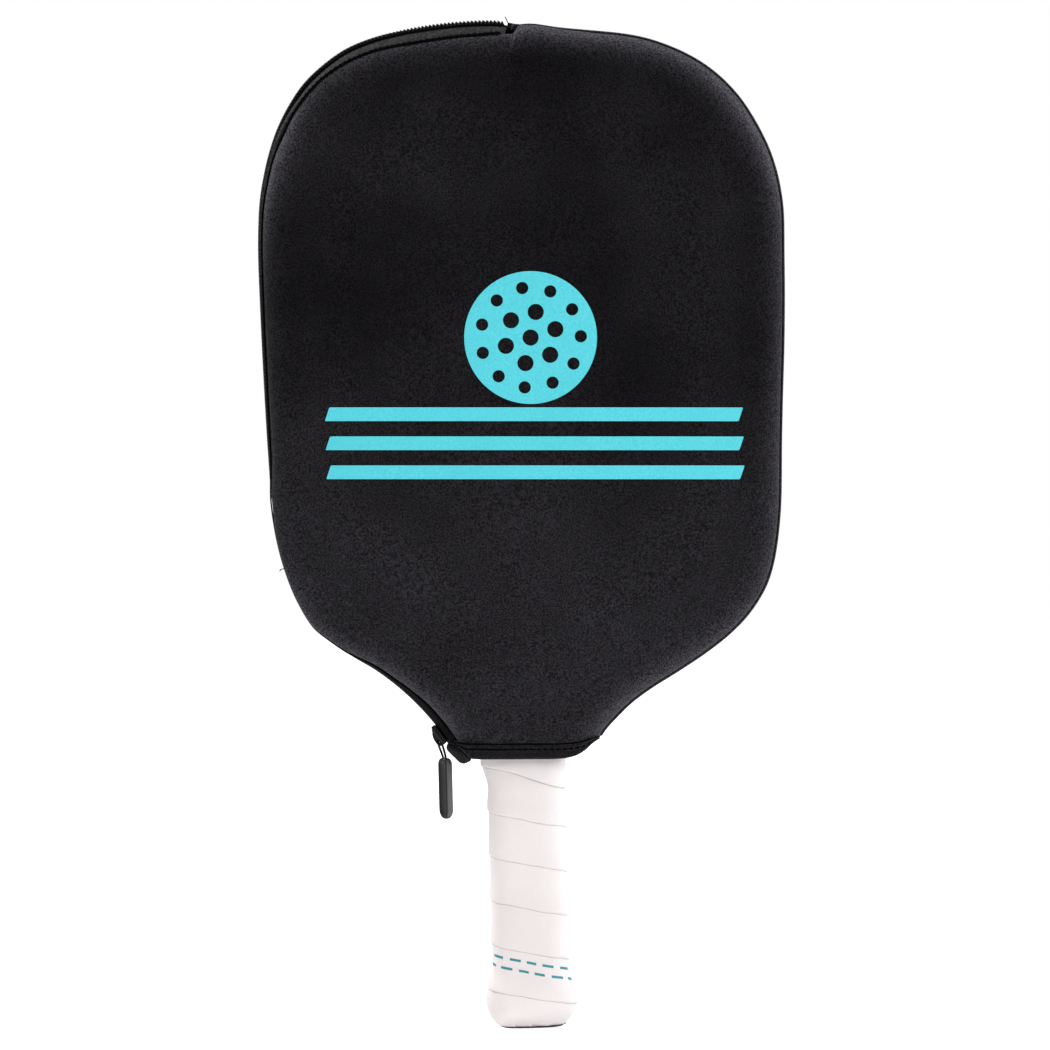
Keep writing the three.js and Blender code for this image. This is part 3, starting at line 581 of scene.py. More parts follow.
def paddle_face():
    shader = Shader("paddle_face")
    fine = shader.noise(scale=1000, detail=3, rough=0.6)
    weave = shader.math(
        "MULTIPLY",
        shader.wave(scale=220, axis="X", distortion=0.2),
        shader.wave(scale=220, axis="Z", distortion=0.2),
    )
    return shader.finish({
        "Base Color": shader.mix(weave, srgb(40, 41, 45), srgb(62, 64, 69)),
        "Roughness": shader.ramp(fine, (0.3, 0.35), (0.7, 0.55)),
        "Normal": shader.bump(fine, strength=0.3, distance=0.0001),
    })


# name: dark yarn, light yarn, and both where the knit is painted pale (painted sheen at the
# edges, paler throat)
KNITS = {
    "knit": ((4, 3, 5), (20, 18, 21), (38, 36, 41), (98, 96, 102)),
    "knit_hem": ((6, 5, 7), (20, 18, 21), (28, 26, 30), (70, 68, 74)),
    "knit_seam": ((16, 15, 17), (56, 54, 59), (40, 38, 43), (98, 96, 102)),
}
# name: colour, roughness, mottling, bump strength, noise scale, specular level
PLASTICS = {
    "coil_nylon": ((3, 3, 4), 0.3, 0.1, 0.05, 500, 0.2),
    "slider_enamel": ((4, 4, 5), 0.24, 0.1, 0.06, 500, 0.2),
    "wire_enamel": ((2, 2, 3), 0.35, 0.1, 0.05, 500, 0.12),
    "tab_rubber": ((20, 20, 22), 0.42, 0.12, 0.15, 900, 0.22),
    "thread": ((12, 12, 13), 0.7, 0.2, 0.4, 2500, 0.15),
    # used for real stitches and for dark tubes painted as shade in grooves
    "stitch_and_shade": ((7, 7, 8), 0.95, 0.2, 0.4, 2500, 0.02),
    "seam_thread": ((30, 30, 32), 0.8, 0.2, 0.4, 2500, 0.1),
    "sealed_tape": ((3, 3, 4), 0.2, 0.1, 0.9, 240, 0.24),
    "collar_tape": ((244, 238, 238), 0.5, 0.03, 0.08, 700, 0.5),
    # painted shade for the creases under the wrap's overlaps
    "wrap_crease_shade": ((210, 201, 200), 0.8, 0.05, 0.1, 500, 0.1),
    # the butt cap's dark grey is partly its own colour and partly painted shade under the
    # handle's end
    "butt_rubber_shade": ((52, 50, 50), 0.6, 0.15, 0.3, 900, 0.5),
    "edge_guard": ((26, 26, 28), 0.5, 0.1, 0.15, 800, 0.5),
    "honeycomb_core": ((206, 200, 184), 0.8, 0.08, 0.4, 300, 0.5),
    "handle_foam": ((140, 142, 146), 0.8, 0.08, 0.4, 600, 0.5),
}
looks = {name: knit(name, *tones) for name, tones in KNITS.items()}
for name, values in PLASTICS.items():
    shader = plastic(name, *values)
    if name == "tab_rubber":
        # the tab gets a painted highlight on its front edge
        paint_tab_highlight(shader)
    looks[name] = shader.material
tape_look = woven_tape()
grip_look = grip_wrap()
ink_look = print_ink()
face_look = paddle_face()


# ---------------------------------------------------------------- cloth panels
def panel_lines(step_z, step_top):
    """Lines from the rim to the middle spine: up the left side, over, down the right.

    Returns whether each starts on the left chain, its share there and its spine height.
    """
    count = int(round((Z_FAN - Z_LOW) / step_z))
    heights = np.linspace(Z_LOW, Z_FAN, count + 1)
    levels = Z_LOW + (SPINE_TOP - Z_LOW) * (heights - Z_LOW) / (Z_FAN - Z_LOW)
    left = LEFT.share_at_z(heights)
    right = RIGHT.share_at_z(heights)
    count_left = int(round((1 - left[-1]) * LEFT.length / step_top))
    count_right = int(round(right[-1] * RIGHT.length / step_top))
    top_left = np.linspace(left[-1], 1, count_left + 1)[1:]
    if step_top < 5:
        # closer lines where the zip ends
        top_left = np.concatenate([top_left[top_left < 0.982], np.linspace(0.984, 1, 15)])
    top_right = np.linspace(0, right[-1], count_right + 1)[1:-1]
    share = np.concatenate([left, top_left, top_right, right[::-1]])
    on_left = np.arange(len(share)) < len(left) + len(top_left)
    fan = np.full(len(top_left) + len(top_right), SPINE_TOP)
    return on_left, share, np.concatenate([levels, fan, levels[::-1]])


def spine_x(z):
    part = smooth((z - 120) / 70)
    return -2.6 * (1 - part) + 0.5 * part


def panel_points(lines, left_inset, right_inset, insets, inner_steps):
    """Points (x, z, inset) on each line, at the insets and then evenly to the spine.

    Also returns how far the panel's edge lies inside the outline on each line.
    """
    reach = 16.0  # the even spacing starts this far in
    on_left, share, level = lines
    (left, left_in), (right, right_in) = (
        LEFT.at(np.where(on_left, share, 0)),
        RIGHT.at(np.where(on_left, 0, share)),
    )
    rim = np.where(on_left[:, None], left, right)
    normal = np.where(on_left[:, None], left_in, right_in)
    edge = np.where(on_left, left_inset(share), right_inset(share))
    # near the neck the lines turn level
    flat = np.stack([np.where(on_left, 1.0, -1.0), np.zeros(len(share))], 1)
    part = smooth((rim[:, 1] - Z_LOW) / LOW_BLEND)[:, None]
    part = np.where((level < SPINE_TOP)[:, None], part, 1.0)
    inward = normal * part + flat * (1 - part)
    inward /= np.linalg.norm(inward, axis=1)[:, None]
    slant = np.maximum(np.abs((inward * normal).sum(1)), 0.4)

    def move(distance):
        return inward * (distance / slant)[:, None]

    base = rim + move(edge)
    spine = np.stack([spine_x(level), level], 1)
    rows = [np.column_stack([base + move(e), np.full(len(share), e)]) for e in insets]
    start = base + move(reach)
    gap = np.linalg.norm(spine - start, axis=1)
    for i in range(1, inner_steps + 1):
        part = i / inner_steps
        rows.append(np.column_stack([start * (1 - part) + spine * part, reach + gap * part]))
    return np.stack(rows, 1), edge


def depth_profile(inset, edge_y, half, size=14.0):
    """Depth of the rounded cloth at an inset, from edge_y at its edge to half."""
    part = np.clip(inset / size, 0, 1)
    return edge_y + (half - edge_y) * (1 - (1 - part) ** 2.3) ** (1 / 1.75)


def undulate(x, z, seed):
    """Broad and small waves in the cloth."""
    waves = [
        0.30 * ripple(a / 52, seed, b / 64) + 0.07 * ripple(a / 13, seed + 9, b / 15)
        for a, b in zip(x.ravel(), z.ravel())
    ]
    return np.array(waves).reshape(x.shape)


def simulate_cover():
    """Press the closed cover outwards as a cloth skin, and keep how far each face moves.

    Returns, for the front (True) and the back (False), a lookup tree and the moves.
    """
    points, _ = panel_points(
        panel_lines(9, 9), lambda share: 1.0, lambda share: 0.0, [0, 2, 5, 9, 13.2, 16], 6
    )
    x, z = points[..., 0], points[..., 1]
    y = depth_profile(points[..., 2], 0.0, HALF_DEPTH * swell(z) - 0.6)
    front, back = np.stack([x, -y, z], -1), np.stack([x, y, z], -1)
    loop = np.concatenate([front[:, ::-1], back[:, 1:]], 1)
    faces = capped_faces(*loop.shape[:2], flip=0, wrap=False)
    skin = make("cover_sim", loop, faces, None, weld=0.05)
    remesh = skin.modifiers.new("remesh", "REMESH")
    remesh.mode = "VOXEL"
    remesh.voxel_size = 0.006
    graph = bpy.context.evaluated_depsgraph_get()
    mesh = bpy.data.meshes.new_from_object(skin.evaluated_get(graph), depsgraph=graph)
    skin.modifiers.clear()
    skin.data = mesh
    rest = np.array([vert.co for vert in mesh.vertices])
    # the rim and the neck stay put (metres)
    pins = skin.vertex_groups.new(name="pin")
    for i, (_, y, z) in enumerate(rest):
        rim = 1 - min(1.0, abs(y) / 0.0075)
        low = 1 - min(1.0, max(0.0, (z - 0.118) / 0.02))
        pins.add([i], max(rim, low), "REPLACE")
    cloth = skin.modifiers.new("cloth", "CLOTH")
    settings = {
        "quality": 6, "mass": 0.4, "tension_stiffness": 40, "compression_stiffness": 40,
        "shear_stiffness": 20, "bending_stiffness": 6, "vertex_group_mass": "pin",
        "use_pressure": True, "uniform_pressure_force": 4.0,
    }
    for key, value in settings.items():
        setattr(cloth.settings, key, value)
    cloth.settings.effector_weights.gravity = 0
    cloth.collision_settings.use_collision = False
    for step in range(1, 21):
        scene.frame_set(step)
    graph = bpy.context.evaluated_depsgraph_get()
    moved = np.array([vert.co for vert in skin.evaluated_get(graph).data.vertices])
    scene.frame_set(1)
    shift = moved - rest
    outward = np.sign((shift * np.sign(rest) * [0, 1, 0]).sum(1))
    moves = np.linalg.norm(shift, axis=1) * outward / MM
    bpy.data.objects.remove(skin)
    result = {}
    for front, picked in ((True, rest[:, 1] < -0.005), (False, rest[:, 1] > 0.005)):
        tree = KDTree(int(picked.sum()))
        for j, i in enumerate(np.nonzero(picked)[0]):
            tree.insert(Vector((rest[i][0], 0, rest[i][2])), j)
        tree.balance()
        result[front] = (tree, moves[picked])
    return result


puff = simulate_cover()


def puff_at(front, x, z):
    """How far the cloth stands out at each spot."""
    cap = 1.3  # the flat paddle underneath lets the skin move no further
    if not puff:
        return 0.8 * np.ones(x.shape)
    tree, moves = puff[front]
    result = np.empty(x.size)
    for i, (a, b) in enumerate(zip(x.ravel(), z.ravel())):
        near = tree.find_n(Vector((a * MM, 0, b * MM)), 5)
        weights = np.array([1 / (distance + 0.001) for _, _, distance in near])
        result[i] = (np.array([moves[j] for _, j, _ in near]) * weights).sum() / weights.sum()
    top = max(1e-6, np.percentile(np.abs(moves), 98))
    return (cap * result / top).clip(-0.2, cap).reshape(x.shape)


def lifted(x, z):
    """Move the lower edge to the groove's line, sliding along the throat's outline."""
    rise = np.interp(x, groove[:, 0], groove[:, 1]) - Z_LOW
    rise = rise * (1 - smooth((z - Z_LOW) / LOW_BLEND))

    def side_x(chain, height):
        height = np.clip(height, Z_LOW, Z_LOW + 24).ravel()
        return chain.at(chain.share_at_z(height))[0][:, 0].reshape(z.shape)

    middle_x = spine_x(z)
    result = np.array(x, float)
    for chain, sign in ((LEFT, -1), (RIGHT, 1)):
        here, there = side_x(chain, z), side_x(chain, z + rise)
        part = np.clip((x - middle_x) / (here - middle_x), 0, 1)
        part = np.where((x - middle_x) * sign > 0, part, 0)
        result = result + part * (there - here)
    return result, z + rise


OUTER_INSETS = [0, 0.25, 0.7, 1.3, 2.1, 3.1, 4.4, 6.0, 8.0, 10.5, 13.2, 16.0]
INNER_INSETS = [WALL, 2.5, 3.1, 4.8, 8.0, 12.0, 16.0]
# The rolled rim: (part of the way from outer to inner skin, depth against the edge)
RIM_ROLL = ((0.12, -0.225), (0.35, -0.35), (0.65, -0.35), (0.9, -0.15))


def build_panel(name, front, left_inset, right_inset, rim_y):
    """One cloth shell; insets are functions of share, rim_y of (on_left, share, inset)."""
    lines = panel_lines(1.7, 2.0)
    outer, edge = panel_points(lines, left_inset, right_inset, OUTER_INSETS, 40)
    x, z, inset = outer[..., 0], outer[..., 1], outer[..., 2]
    edge_y = rim_y(lines[0], lines[1], edge)[:, None]
    y = depth_profile(inset, edge_y, HALF_DEPTH * swell(z))
    waves = puff_at(front, x, z) - 0.5 + undulate(x, z, 3.3 if front else 8.1)
    y = y + smooth((inset - 3) / 22) * waves
    x, z = lifted(x, z)
    outer = np.stack([x, y, z], -1)

    inner, _ = panel_points(lines, left_inset, right_inset, INNER_INSETS, 40)
    x, z, inset = inner[..., 0], inner[..., 1], inner[..., 2]
    half = INNER_HALF_DEPTH * swell(z)
    y = depth_profile(np.clip(inset - WALL, 0, 99), edge_y + 0.3, half, 4.0)
    y = np.minimum(y, np.maximum(edge_y + 0.3, half))
    x, z = lifted(x, z)
    inner = np.stack([x, y, z], -1)

    rim = []
    for part, drop in RIM_ROLL:
        row = outer[:, 0] * (1 - part) + inner[:, 0] * part
        row[:, 1] = np.minimum(outer[:, 0, 1], inner[:, 0, 1]) + drop
        rim.append(row)
    loop = np.concatenate([outer[:, ::-1], np.stack(rim, 1), inner], 1)
    if front:
        loop[..., 1] *= -1
    return make(name, loop, grid_faces(*loop.shape[:2]), looks["knit"], weld=0.02)


def raised(share, inset):
    """Extra depth of the front edge where its seam lies far in from the zip."""
    return 4.8 * smooth((inset - 3.0) / 3.0) * (share > 0.5)


def front_rim(on_left, share, inset):
    return np.where(on_left, EDGE_Y + raised(share, inset), EDGE_Y)


def front_left(share):
    end = smooth((share - 0.9945) / 0.0055)
    before_end = smooth((share - 0.965) / 0.02) * (1 - end)
    return eased(SEAM_INSET, share) + (0.6 - 4.2) * end + 0.9 * before_end


def front_right(share):
    return 0.6 + 0.5 * smooth((share - 0.02) / 0.06)


def back_rim(on_left, share, inset):
    drop = (EDGE_Y + 3.0) * smooth((share - 0.985) / 0.01)
    return np.where(on_left, EDGE_Y - drop, -3.0)


def back_left(share):
    low = smooth((0.36 - share) / 0.1) * smooth((share - 0.13) / 0.08)
    return 1.2 + 0.8 * low - 1.2 * smooth((share - 0.985) / 0.015)


front_panel = build_panel("front_cloth", True, front_left, front_right, front_rim)
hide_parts("front_flap", "front_panel_fixed")
back_panel = build_panel("back_cloth", False, back_left, lambda share: 0.0, back_rim)
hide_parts("back_panel")

# The fold line down the front, and the direction across it to its left
FOLD_TOP = np.array([1.8, -11.7, 408.6])
FOLD_BOTTOM = np.array([27.8, -15.9, 116.3])
fold_up = (FOLD_TOP - FOLD_BOTTOM) / np.linalg.norm(FOLD_TOP - FOLD_BOTTOM)
fold_left = np.cross(fold_up, [0, 1, 0])
fold_left /= np.linalg.norm(fold_left)

front_tree = BVHTree.FromObject(front_panel, bpy.context.evaluated_depsgraph_get())


def front_y(x, z):
    """Depth of the front cloth's surface."""
    hit = front_tree.ray_cast(Vector((x * MM, -0.2, z * MM)), Vector((0, 1, 0)))
    return hit[0].y / MM if hit[0] is not None else -HALF_DEPTH


# ---------------------------------------------------------------- hems
NECK_LEFT = LEFT.at(LEFT.share_at_z(117.0))[0][0]
NECK_RIGHT = RIGHT.at(RIGHT.share_at_z(118.8))[0][0]
HEM_HEIGHT = 4.6  # the hem's section is squeezed where it is lower than this


def hem(name, front):
    """A folded band round the neck: a ridge, a stitched groove and a rolled lower edge.

    Returns the object and its stations: x, y, top, bottom and outward x and y.
    """
    start = NECK_LEFT + 0.9
    end = NECK_RIGHT - (1.3 if front else 0.9)
    quarter = np.linspace(0, np.pi / 2, 12)
    stations = []
    for x in np.concatenate([
        start + 2.2 * (1 - np.cos(quarter)),
        np.linspace(start + 2.5, end - 2.4, 60),
        end - 2.1 * (1 - np.sin(quarter)),
    ]):
        inset = max(0.05, min(x - NECK_LEFT, NECK_RIGHT - x))
        top = float(np.interp(x, groove[:, 0], groove[:, 1])) + 0.15
        y = float(depth_profile(inset, 2.9, HALF_DEPTH * float(swell(top))))
        bottom = float(np.interp(x, hem_bottom[:, 0], hem_bottom[:, 1]))
        if front and x < -25.3:
            bottom = max(bottom, 110.7 + (-25.3 - x) * 0.92)
        bottom = min(bottom, top - (0.9 if front else 1.6))
        stations.append((x, y, top, bottom))
    stations = np.array(stations)
    ahead = np.gradient(stations[:, :2], axis=0)
    ahead /= np.linalg.norm(ahead, axis=1)[:, None]
    outward = np.stack([-ahead[:, 1], ahead[:, 0]], 1)
    outward[outward[:, 1] < 0] *= -1
    stations = np.column_stack([stations, outward])
    rings = []
    for x, y, top, bottom, out_x, out_y in stations:
        height = top - bottom
        squeeze = min(1.0, height / HEM_HEIGHT)
        wobble = 0.10 * ripple(x / 6, 5.0 if front else 6.0, 0.3)
        section = [  # (outwards, z), from the inside over the top and down
            (-2.6, top + 0.5), (-1.9, top + 0.3), (-1.3, top - 0.1),
            (-0.55, top - 0.42 * squeeze), (-0.2, top - 0.62 * squeeze),
            (-0.05, top - 1.1 * squeeze), (-0.14, top - 1.68 * squeeze),
            (-0.45, top - 1.92 * squeeze), (-1.0, top - 2.15 * squeeze),
            (-0.5, top - 2.4 * squeeze), (-0.1, top - 2.75 * squeeze),
            (0.02 + wobble, top - 3.3 * squeeze), (0.05 + wobble, top - 0.78 * height),
            (-0.05 + wobble, bottom + 0.7 * squeeze), (-0.45, bottom + 0.16),
            (-1.1, bottom), (-2.0, bottom + 0.25), (-2.6, bottom + 0.9 * squeeze),
        ]
        rings.append([(x + out_x * out, y + out_y * out, z) for out, z in section])
    rings = np.array(rings)
    if front:
        rings[..., 1] *= -1
    return make(name, rings, capped_faces(*rings.shape[:2]), looks["knit_hem"]), stations


def hem_at(stations, places):
    """The stations' columns at arc lengths along the hem."""
    arc = arc_lengths(stations[:, :2])
    return [np.interp(places, arc, column) for column in stations.T]


def hem_groove_shade(name, stations, front):
    """Dark tubes painted as the shade in the floors of the hem's two grooves; on the front the
    lower closes to the right.
    """
    sign = -1 if front else 1
    places = np.linspace(0.6, arc_lengths(stations[:, :2])[-1] - 0.6, 260)
    x, y, top, bottom, out_x, out_y = hem_at(stations, places)
    squeeze = np.minimum(1.0, (top - bottom) / HEM_HEIGHT)

    def path(out, z):
        return np.stack([x + out_x * out, (y + out_y * out) * sign, z], 1)

    parts = Parts()
    parts.tube(path(-0.46, top - 0.06), 0.38 - 0.10 * smooth((x + 5) / 30), 7)
    shown = x < 2.0 if front else slice(None)
    fade = np.clip((2.0 - x[shown]) / 14.0, 0, 1) if front else 1.0
    parts.tube(path(-0.42, top - 2.16 * squeeze)[shown], 0.12 + 0.28 * fade, 7)
    return parts.make(name, looks["stitch_and_shade"])


def hem_stitches(name, stations, front):
    pitch = 2.66
    sign = -1 if front else 1
    places = np.arange(pitch, arc_lengths(stations[:, :2])[-1] - 1, pitch)
    parts = Parts()
    for x, y, top, bottom, out_x, out_y in zip(*hem_at(stations, places)):
        if top - bottom < 2.6:
            continue
        squeeze = min(1.0, (top - bottom) / HEM_HEIGHT)
        centre = (x + out_x * -0.42, (y + out_y * -0.42) * sign, top - 2.16 * squeeze)
        along = np.array([-out_y, out_x * sign, 0.0])
        outward = np.array([out_x, out_y * sign, 0.0])
        parts.blob(centre, (along * 0.72, outward * 0.5, np.array([0, 0, 0.42])))
    return parts.make(name, looks["stitch_and_shade"])


hem_front, stations_front = hem("hem_front_band", True)
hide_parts("front_neck_hem")
hem_back, stations_back = hem("hem_back_band", False)
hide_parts("back_neck_hem")
groove_shade_front = hem_groove_shade("hem_front_groove_shade", stations_front, True)
groove_shade_back = hem_groove_shade("hem_back_groove_shade", stations_back, False)
stitch_front = hem_stitches("hem_front_stitches", stations_front, True)
stitch_back = hem_stitches("hem_back_stitches", stations_back, False)

# ---------------------------------------------------------------- zip
# Where the teeth start and end, as shares of the left chain
ZIP_START = math.radians(33.2 - ARC_FROM) * ARC_RADIUS / LEFT.length
ZIP_END = 0.985
COIL_PITCH = 1.57


def bared(front, share, inset):
    """1 where the front's seam lies far in and bares the tape, else 0."""
    return smooth((inset - 3.4) / 2.2) * (share > 0.5) if front else 0 * share


def tape(name, front):
    """Woven strip from the coil to the cloth's seam."""
    count, steps, thickness = 320, 12, 0.75
    sign = -1 if front else 1
    share = np.linspace(ZIP_START - 0.002, ZIP_END + 0.003, count)
    seam = front_left(share) if front else back_left(share)
    bare = bared(front, share, seam)
    start = eased(COIL_INSET, share) + 0.9 + 1.15 * bare
    end = (1 - bare) * 5.0 + bare * (seam + 0.7)
    end_y = (1 - bare) * 3.0 + bare * 6.9
    outer, inner = [], []
    for i in range(steps + 1):
        part = i / steps
        inset = start + (end - start) * part
        tucked = 2.0 + (end_y - 2.0) * smooth(part * 2.6)
        climbing = 1.1 + (end_y - 1.1) * math.sin(math.pi / 2 * part) ** 0.85
        y = tucked * (1 - bare) + climbing * bare
        seed = 2.0 if front else 4.0
        waves = np.array([0.12 * ripple(place * 60, part * 1.5, seed) for place in share])
        waves = waves * math.sin(math.pi * part)
        outer.append(LEFT.inset(share, inset, sign * (y + thickness + waves)))
        inner.append(LEFT.inset(share, inset, sign * (y + waves)))
    loop = np.stack(outer + inner[::-1], 1)
    return make(name, loop, capped_faces(*loop.shape[:2]), tape_look)


def edge_thread_and_shade(name, front):
    """The stitching that joins panel and tape, over a continuous dark line painted as the shade
    where the cloth's edge meets the tape; on the front also a dark tube painted as the shade in
    the groove between coil and tape.
    """
    sign = -1 if front else 1
    share = np.linspace(ZIP_START + 0.004, ZIP_END - 0.002, 1500)
    seam = front_left(share) if front else back_left(share)
    bare = bared(front, share, seam)
    edge_y = EDGE_Y + (raised(share, seam) if front else 0)
    beat = np.maximum(0, np.sin(2 * np.pi * (share * LEFT.length) / 2.5))
    inset = np.maximum(seam - 0.42 - 0.25 * bare, 0.5)
    y = sign * (edge_y + 0.42 + 0.1 * beat * bare)
    parts = Parts()
    parts.tube(LEFT.inset(share, inset, y), 0.32 + 0.26 * beat * bare + 0.28 * bare, 7)
    if front:
        # a dark tube painted as the shade in the groove between the coil and the tape
        share = np.linspace(0.66, ZIP_END - 0.002, 500)
        inset = eased(COIL_INSET, share) + 2.12
        parts.tube(LEFT.inset(share, inset, sign * 2.55), 0.58, 7)
    return parts.make(name, looks["stitch_and_shade"])


def coil(name, sign, phase):
    """A nylon coil: one flattened turn for each tooth, wound along the zip's edge."""
    turns = int((ZIP_END - ZIP_START) * LEFT.length / COIL_PITCH)
    count = turns * 14 + 1
    share = ZIP_START + np.linspace(0, 1, count) * (ZIP_END - ZIP_START)
    angle = -2 * np.pi * (np.linspace(0, turns, count) + phase)
    slack = smooth((share - 0.86) / 0.06)
    inset = eased(COIL_INSET, share) + 1.16 - (0.62 + 0.30 * slack) * np.cos(angle)
    y = sign * (1.30 + 1.15 * np.sin(angle))
    # near its upper end the coil isn't pulled tight, and its loops lean
    share = share - slack * 0.0022 * np.cos(angle)
    parts = Parts()
    parts.tube(LEFT.inset(share, inset, y), 0.42 - 0.02 * slack, 7)
    # the cord inside the turns, thicker low down, and a thin one on their outer face
    share = np.linspace(ZIP_START, ZIP_END, 420)
    low = 1 - smooth((share - 0.30) / 0.05)
    slack = smooth((share - 0.86) / 0.06)
    base = eased(COIL_INSET, share)
    cord = LEFT.inset(share, base + 1.0 + 0.55 * slack, sign * 1.3)
    parts.tube(cord, 0.80 + 0.10 * low - 0.16 * slack, 10)
    parts.tube(LEFT.inset(share, base + 1.8, sign * 2.25), 0.2, 6)
    return parts.make(name, looks["coil_nylon"])


tape_front = tape("zip_tape_front_cloth", True)
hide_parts("zip_tape_front")
tape_back = tape("zip_tape_back_cloth", False)
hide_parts("zip_tape_back")
zip_thread_and_shade_front = edge_thread_and_shade("zip_seam_front_thread_and_shade", True)
zip_thread_and_shade_back = edge_thread_and_shade("zip_seam_back_thread_and_shade", False)
coil_front = coil("zip_coil_front_turns", sign=-1, phase=0.0)
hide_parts("zip_coil_front")
coil_back = coil("zip_coil_back_turns", sign=1, phase=0.06)
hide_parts("zip_coil_back")


def rounded_plate(outline, half, radius, steps=3):
    """Verts and faces of a flat (x, z) shape, half deep either way, with rounded edges."""
    outline = np.array(outline, float)
    x, z = outline.T
    if 0.5 * np.sum(x * np.roll(z, -1) - np.roll(x, -1) * z) < 0:
        outline = outline[::-1]
    count = len(outline)
    before = outline - np.roll(outline, 1, 0)
    after = np.roll(outline, -1, 0) - outline
    before /= np.linalg.norm(before, axis=1)[:, None] + 1e-12
    after /= np.linalg.norm(after, axis=1)[:, None] + 1e-12
    normal = np.stack([-before[:, 1], before[:, 0]], 1)
    inward = normal + np.stack([-after[:, 1], after[:, 0]], 1)
    inward /= np.linalg.norm(inward, axis=1)[:, None] + 1e-12
    stretch = 1 / np.maximum((inward * normal).sum(1), 0.5)
    rings = []
    for i in range(steps + 1):
        angle = math.pi / 2 * i / steps
        rings.append((radius * (1 - math.sin(angle)), -half + radius * (1 - math.cos(angle))))
    rings += [(inset, -y) for inset, y in rings[::-1]]
    verts = []
    for inset, y in rings:
        ring = outline + inward * (stretch * inset)[:, None]
        verts.append(np.stack([ring[:, 0], np.full(count, y), ring[:, 1]], 1))
    return verts, capped_faces(len(rings), count, flip=1)


def round_corners(points, radius, steps=4):
    points = np.array(points, float)
    result = []
    for i, corner in enumerate(points):
        back, ahead = points[i - 1] - corner, points[(i + 1) % len(points)] - corner
        back_length, ahead_length = np.linalg.norm(back), np.linalg.norm(ahead)
        reach = min(radius, back_length * 0.45, ahead_length * 0.45)
        start = corner + back / back_length * reach
        end = corner + ahead / ahead_length * reach
        for k in range(steps + 1):
            part = k / steps
            result.append(
                (1 - part) ** 2 * start + 2 * part * (1 - part) * corner + part**2 * end
            )
    return np.array(result)


def zip_end_piece(name, outline, half, radius, steps=3):
    return make(name, *rounded_plate(outline, half, radius, steps), looks["sealed_tape"])


stop_share = np.linspace(0.9885, 0.9965, 3)
stop_outline = np.concatenate([
    LEFT.inset(stop_share, 0.1, 0.0)[:, [0, 2]],
    LEFT.inset(stop_share, 2.4, 0.0)[::-1, [0, 2]],
])
top_stop = zip_end_piece(
    "zip_top_stop_moulded", round_corners(stop_outline, 0.5), half=2.2, radius=0.45
)
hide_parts("zip_top_stop")
stop_outline = [polar(109.2, 30.9), polar(109.2, 33.6), polar(112.2, 33.6), polar(112.2, 30.9)]
bottom_stop = zip_end_piece(
    "zip_bottom_stop_moulded", round_corners(stop_outline, 0.5), half=2.5, radius=0.45
)
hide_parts("zip_bottom_stop")
TAPE_END = [  # (x, z)
    (-35.4, 114.3), (-34.6, 117.0), (-30.6, 117.3), (-25.0, 111.2), (-25.1, 109.3),
    (-28.0, 108.0), (-29.8, 108.5),
]
tape_end = zip_end_piece(
    "zip_tape_end_sealed", round_corners(TAPE_END, 1.5, 5), half=4.2, radius=1.3, steps=4
)
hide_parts("zip_tape_end")

# ---------------------------------------------------------------- slider and pull
SLIDER_FROM, SLIDER_TO = 32.9, 37.5  # degrees round the outline's arc
EYE = np.array([-38.1, 117.6])  # (x, z) of the eye that the wire goes through
WEB = [  # the bridge's outline: (radius, degrees) round the arc's centre
    (108.9, SLIDER_TO - 0.35), (107.6, SLIDER_TO - 0.3), (105.95, SLIDER_TO - 1.4),
    (105.25, 35.0), (105.2, 33.9), (105.6, SLIDER_FROM + 0.1), (107.6, SLIDER_FROM - 0.1),
    (108.9, SLIDER_FROM + 0.1),
]


def slider_arc(radius, margin, count, back=False):
    """Points at a radius between the slider's ends, each drawn in by a margin."""
    points = arc_points(radius, SLIDER_FROM + margin, SLIDER_TO - margin, count)
    if back:
        points = arc_points(radius, SLIDER_TO - margin, SLIDER_FROM + margin, count)
    return points


def add_bridge(parts):
    """A solid web with a small eye."""
    count, half = 40, 1.05
    web = round_corners([polar(*place) for place in WEB], 0.7, 4)
    dense = np.concatenate([
        np.linspace(web[i], web[(i + 1) % len(web)], 12, endpoint=False)
        for i in range(len(web))
    ])
    bearing = np.arctan2(dense[:, 1] - EYE[1], dense[:, 0] - EYE[0])
    angles = np.linspace(0, 2 * np.pi, count, endpoint=False)
    outer = np.array([
        dense[np.argmin(np.abs(np.angle(np.exp(1j * (bearing - angle)))))] for angle in angles
    ])
    spokes = np.stack([np.cos(angles), np.sin(angles)], 1)
    section = [
        (EYE + spokes * 0.62, half - 0.15),
        (EYE + spokes * 0.75, half),
        (EYE + (outer - EYE) * 0.88, half),
        (outer, half - 0.28),
    ]
    loops = [(ring, -y) for ring, y in section] + [(ring, y) for ring, y in section[::-1]]
    verts = [np.stack([ring[:, 0], np.full(count, y), ring[:, 1]], 1) for ring, y in loops]
    parts.add(verts, grid_faces(len(loops), count, wrap_rows=True, wrap_cols=True))


def build_slider():
    parts = Parts()
    body = slider_arc(107.45, 0, 10) + slider_arc(109.08, 0, 10, back=True)
    parts.add(*rounded_plate(round_corners(body, 0.5, 2), half=3.7, radius=0.5))
    rib = slider_arc(106.9, 0.5, 8) + slider_arc(107.8, 0.5, 8, back=True)
    parts.add(*rounded_plate(rib, half=2.3, radius=0.35, steps=2))
    add_bridge(parts)
    for side in (-1, 1):
        lip = [(x, side * 3.25, z) for x, z in slider_arc(109.0, 0.25, 10)]
        parts.tube(lip, 0.42, 8)
    return parts.make("slider_cast", looks["slider_enamel"], sharp=50)


slider = build_slider()
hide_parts("slider_body")

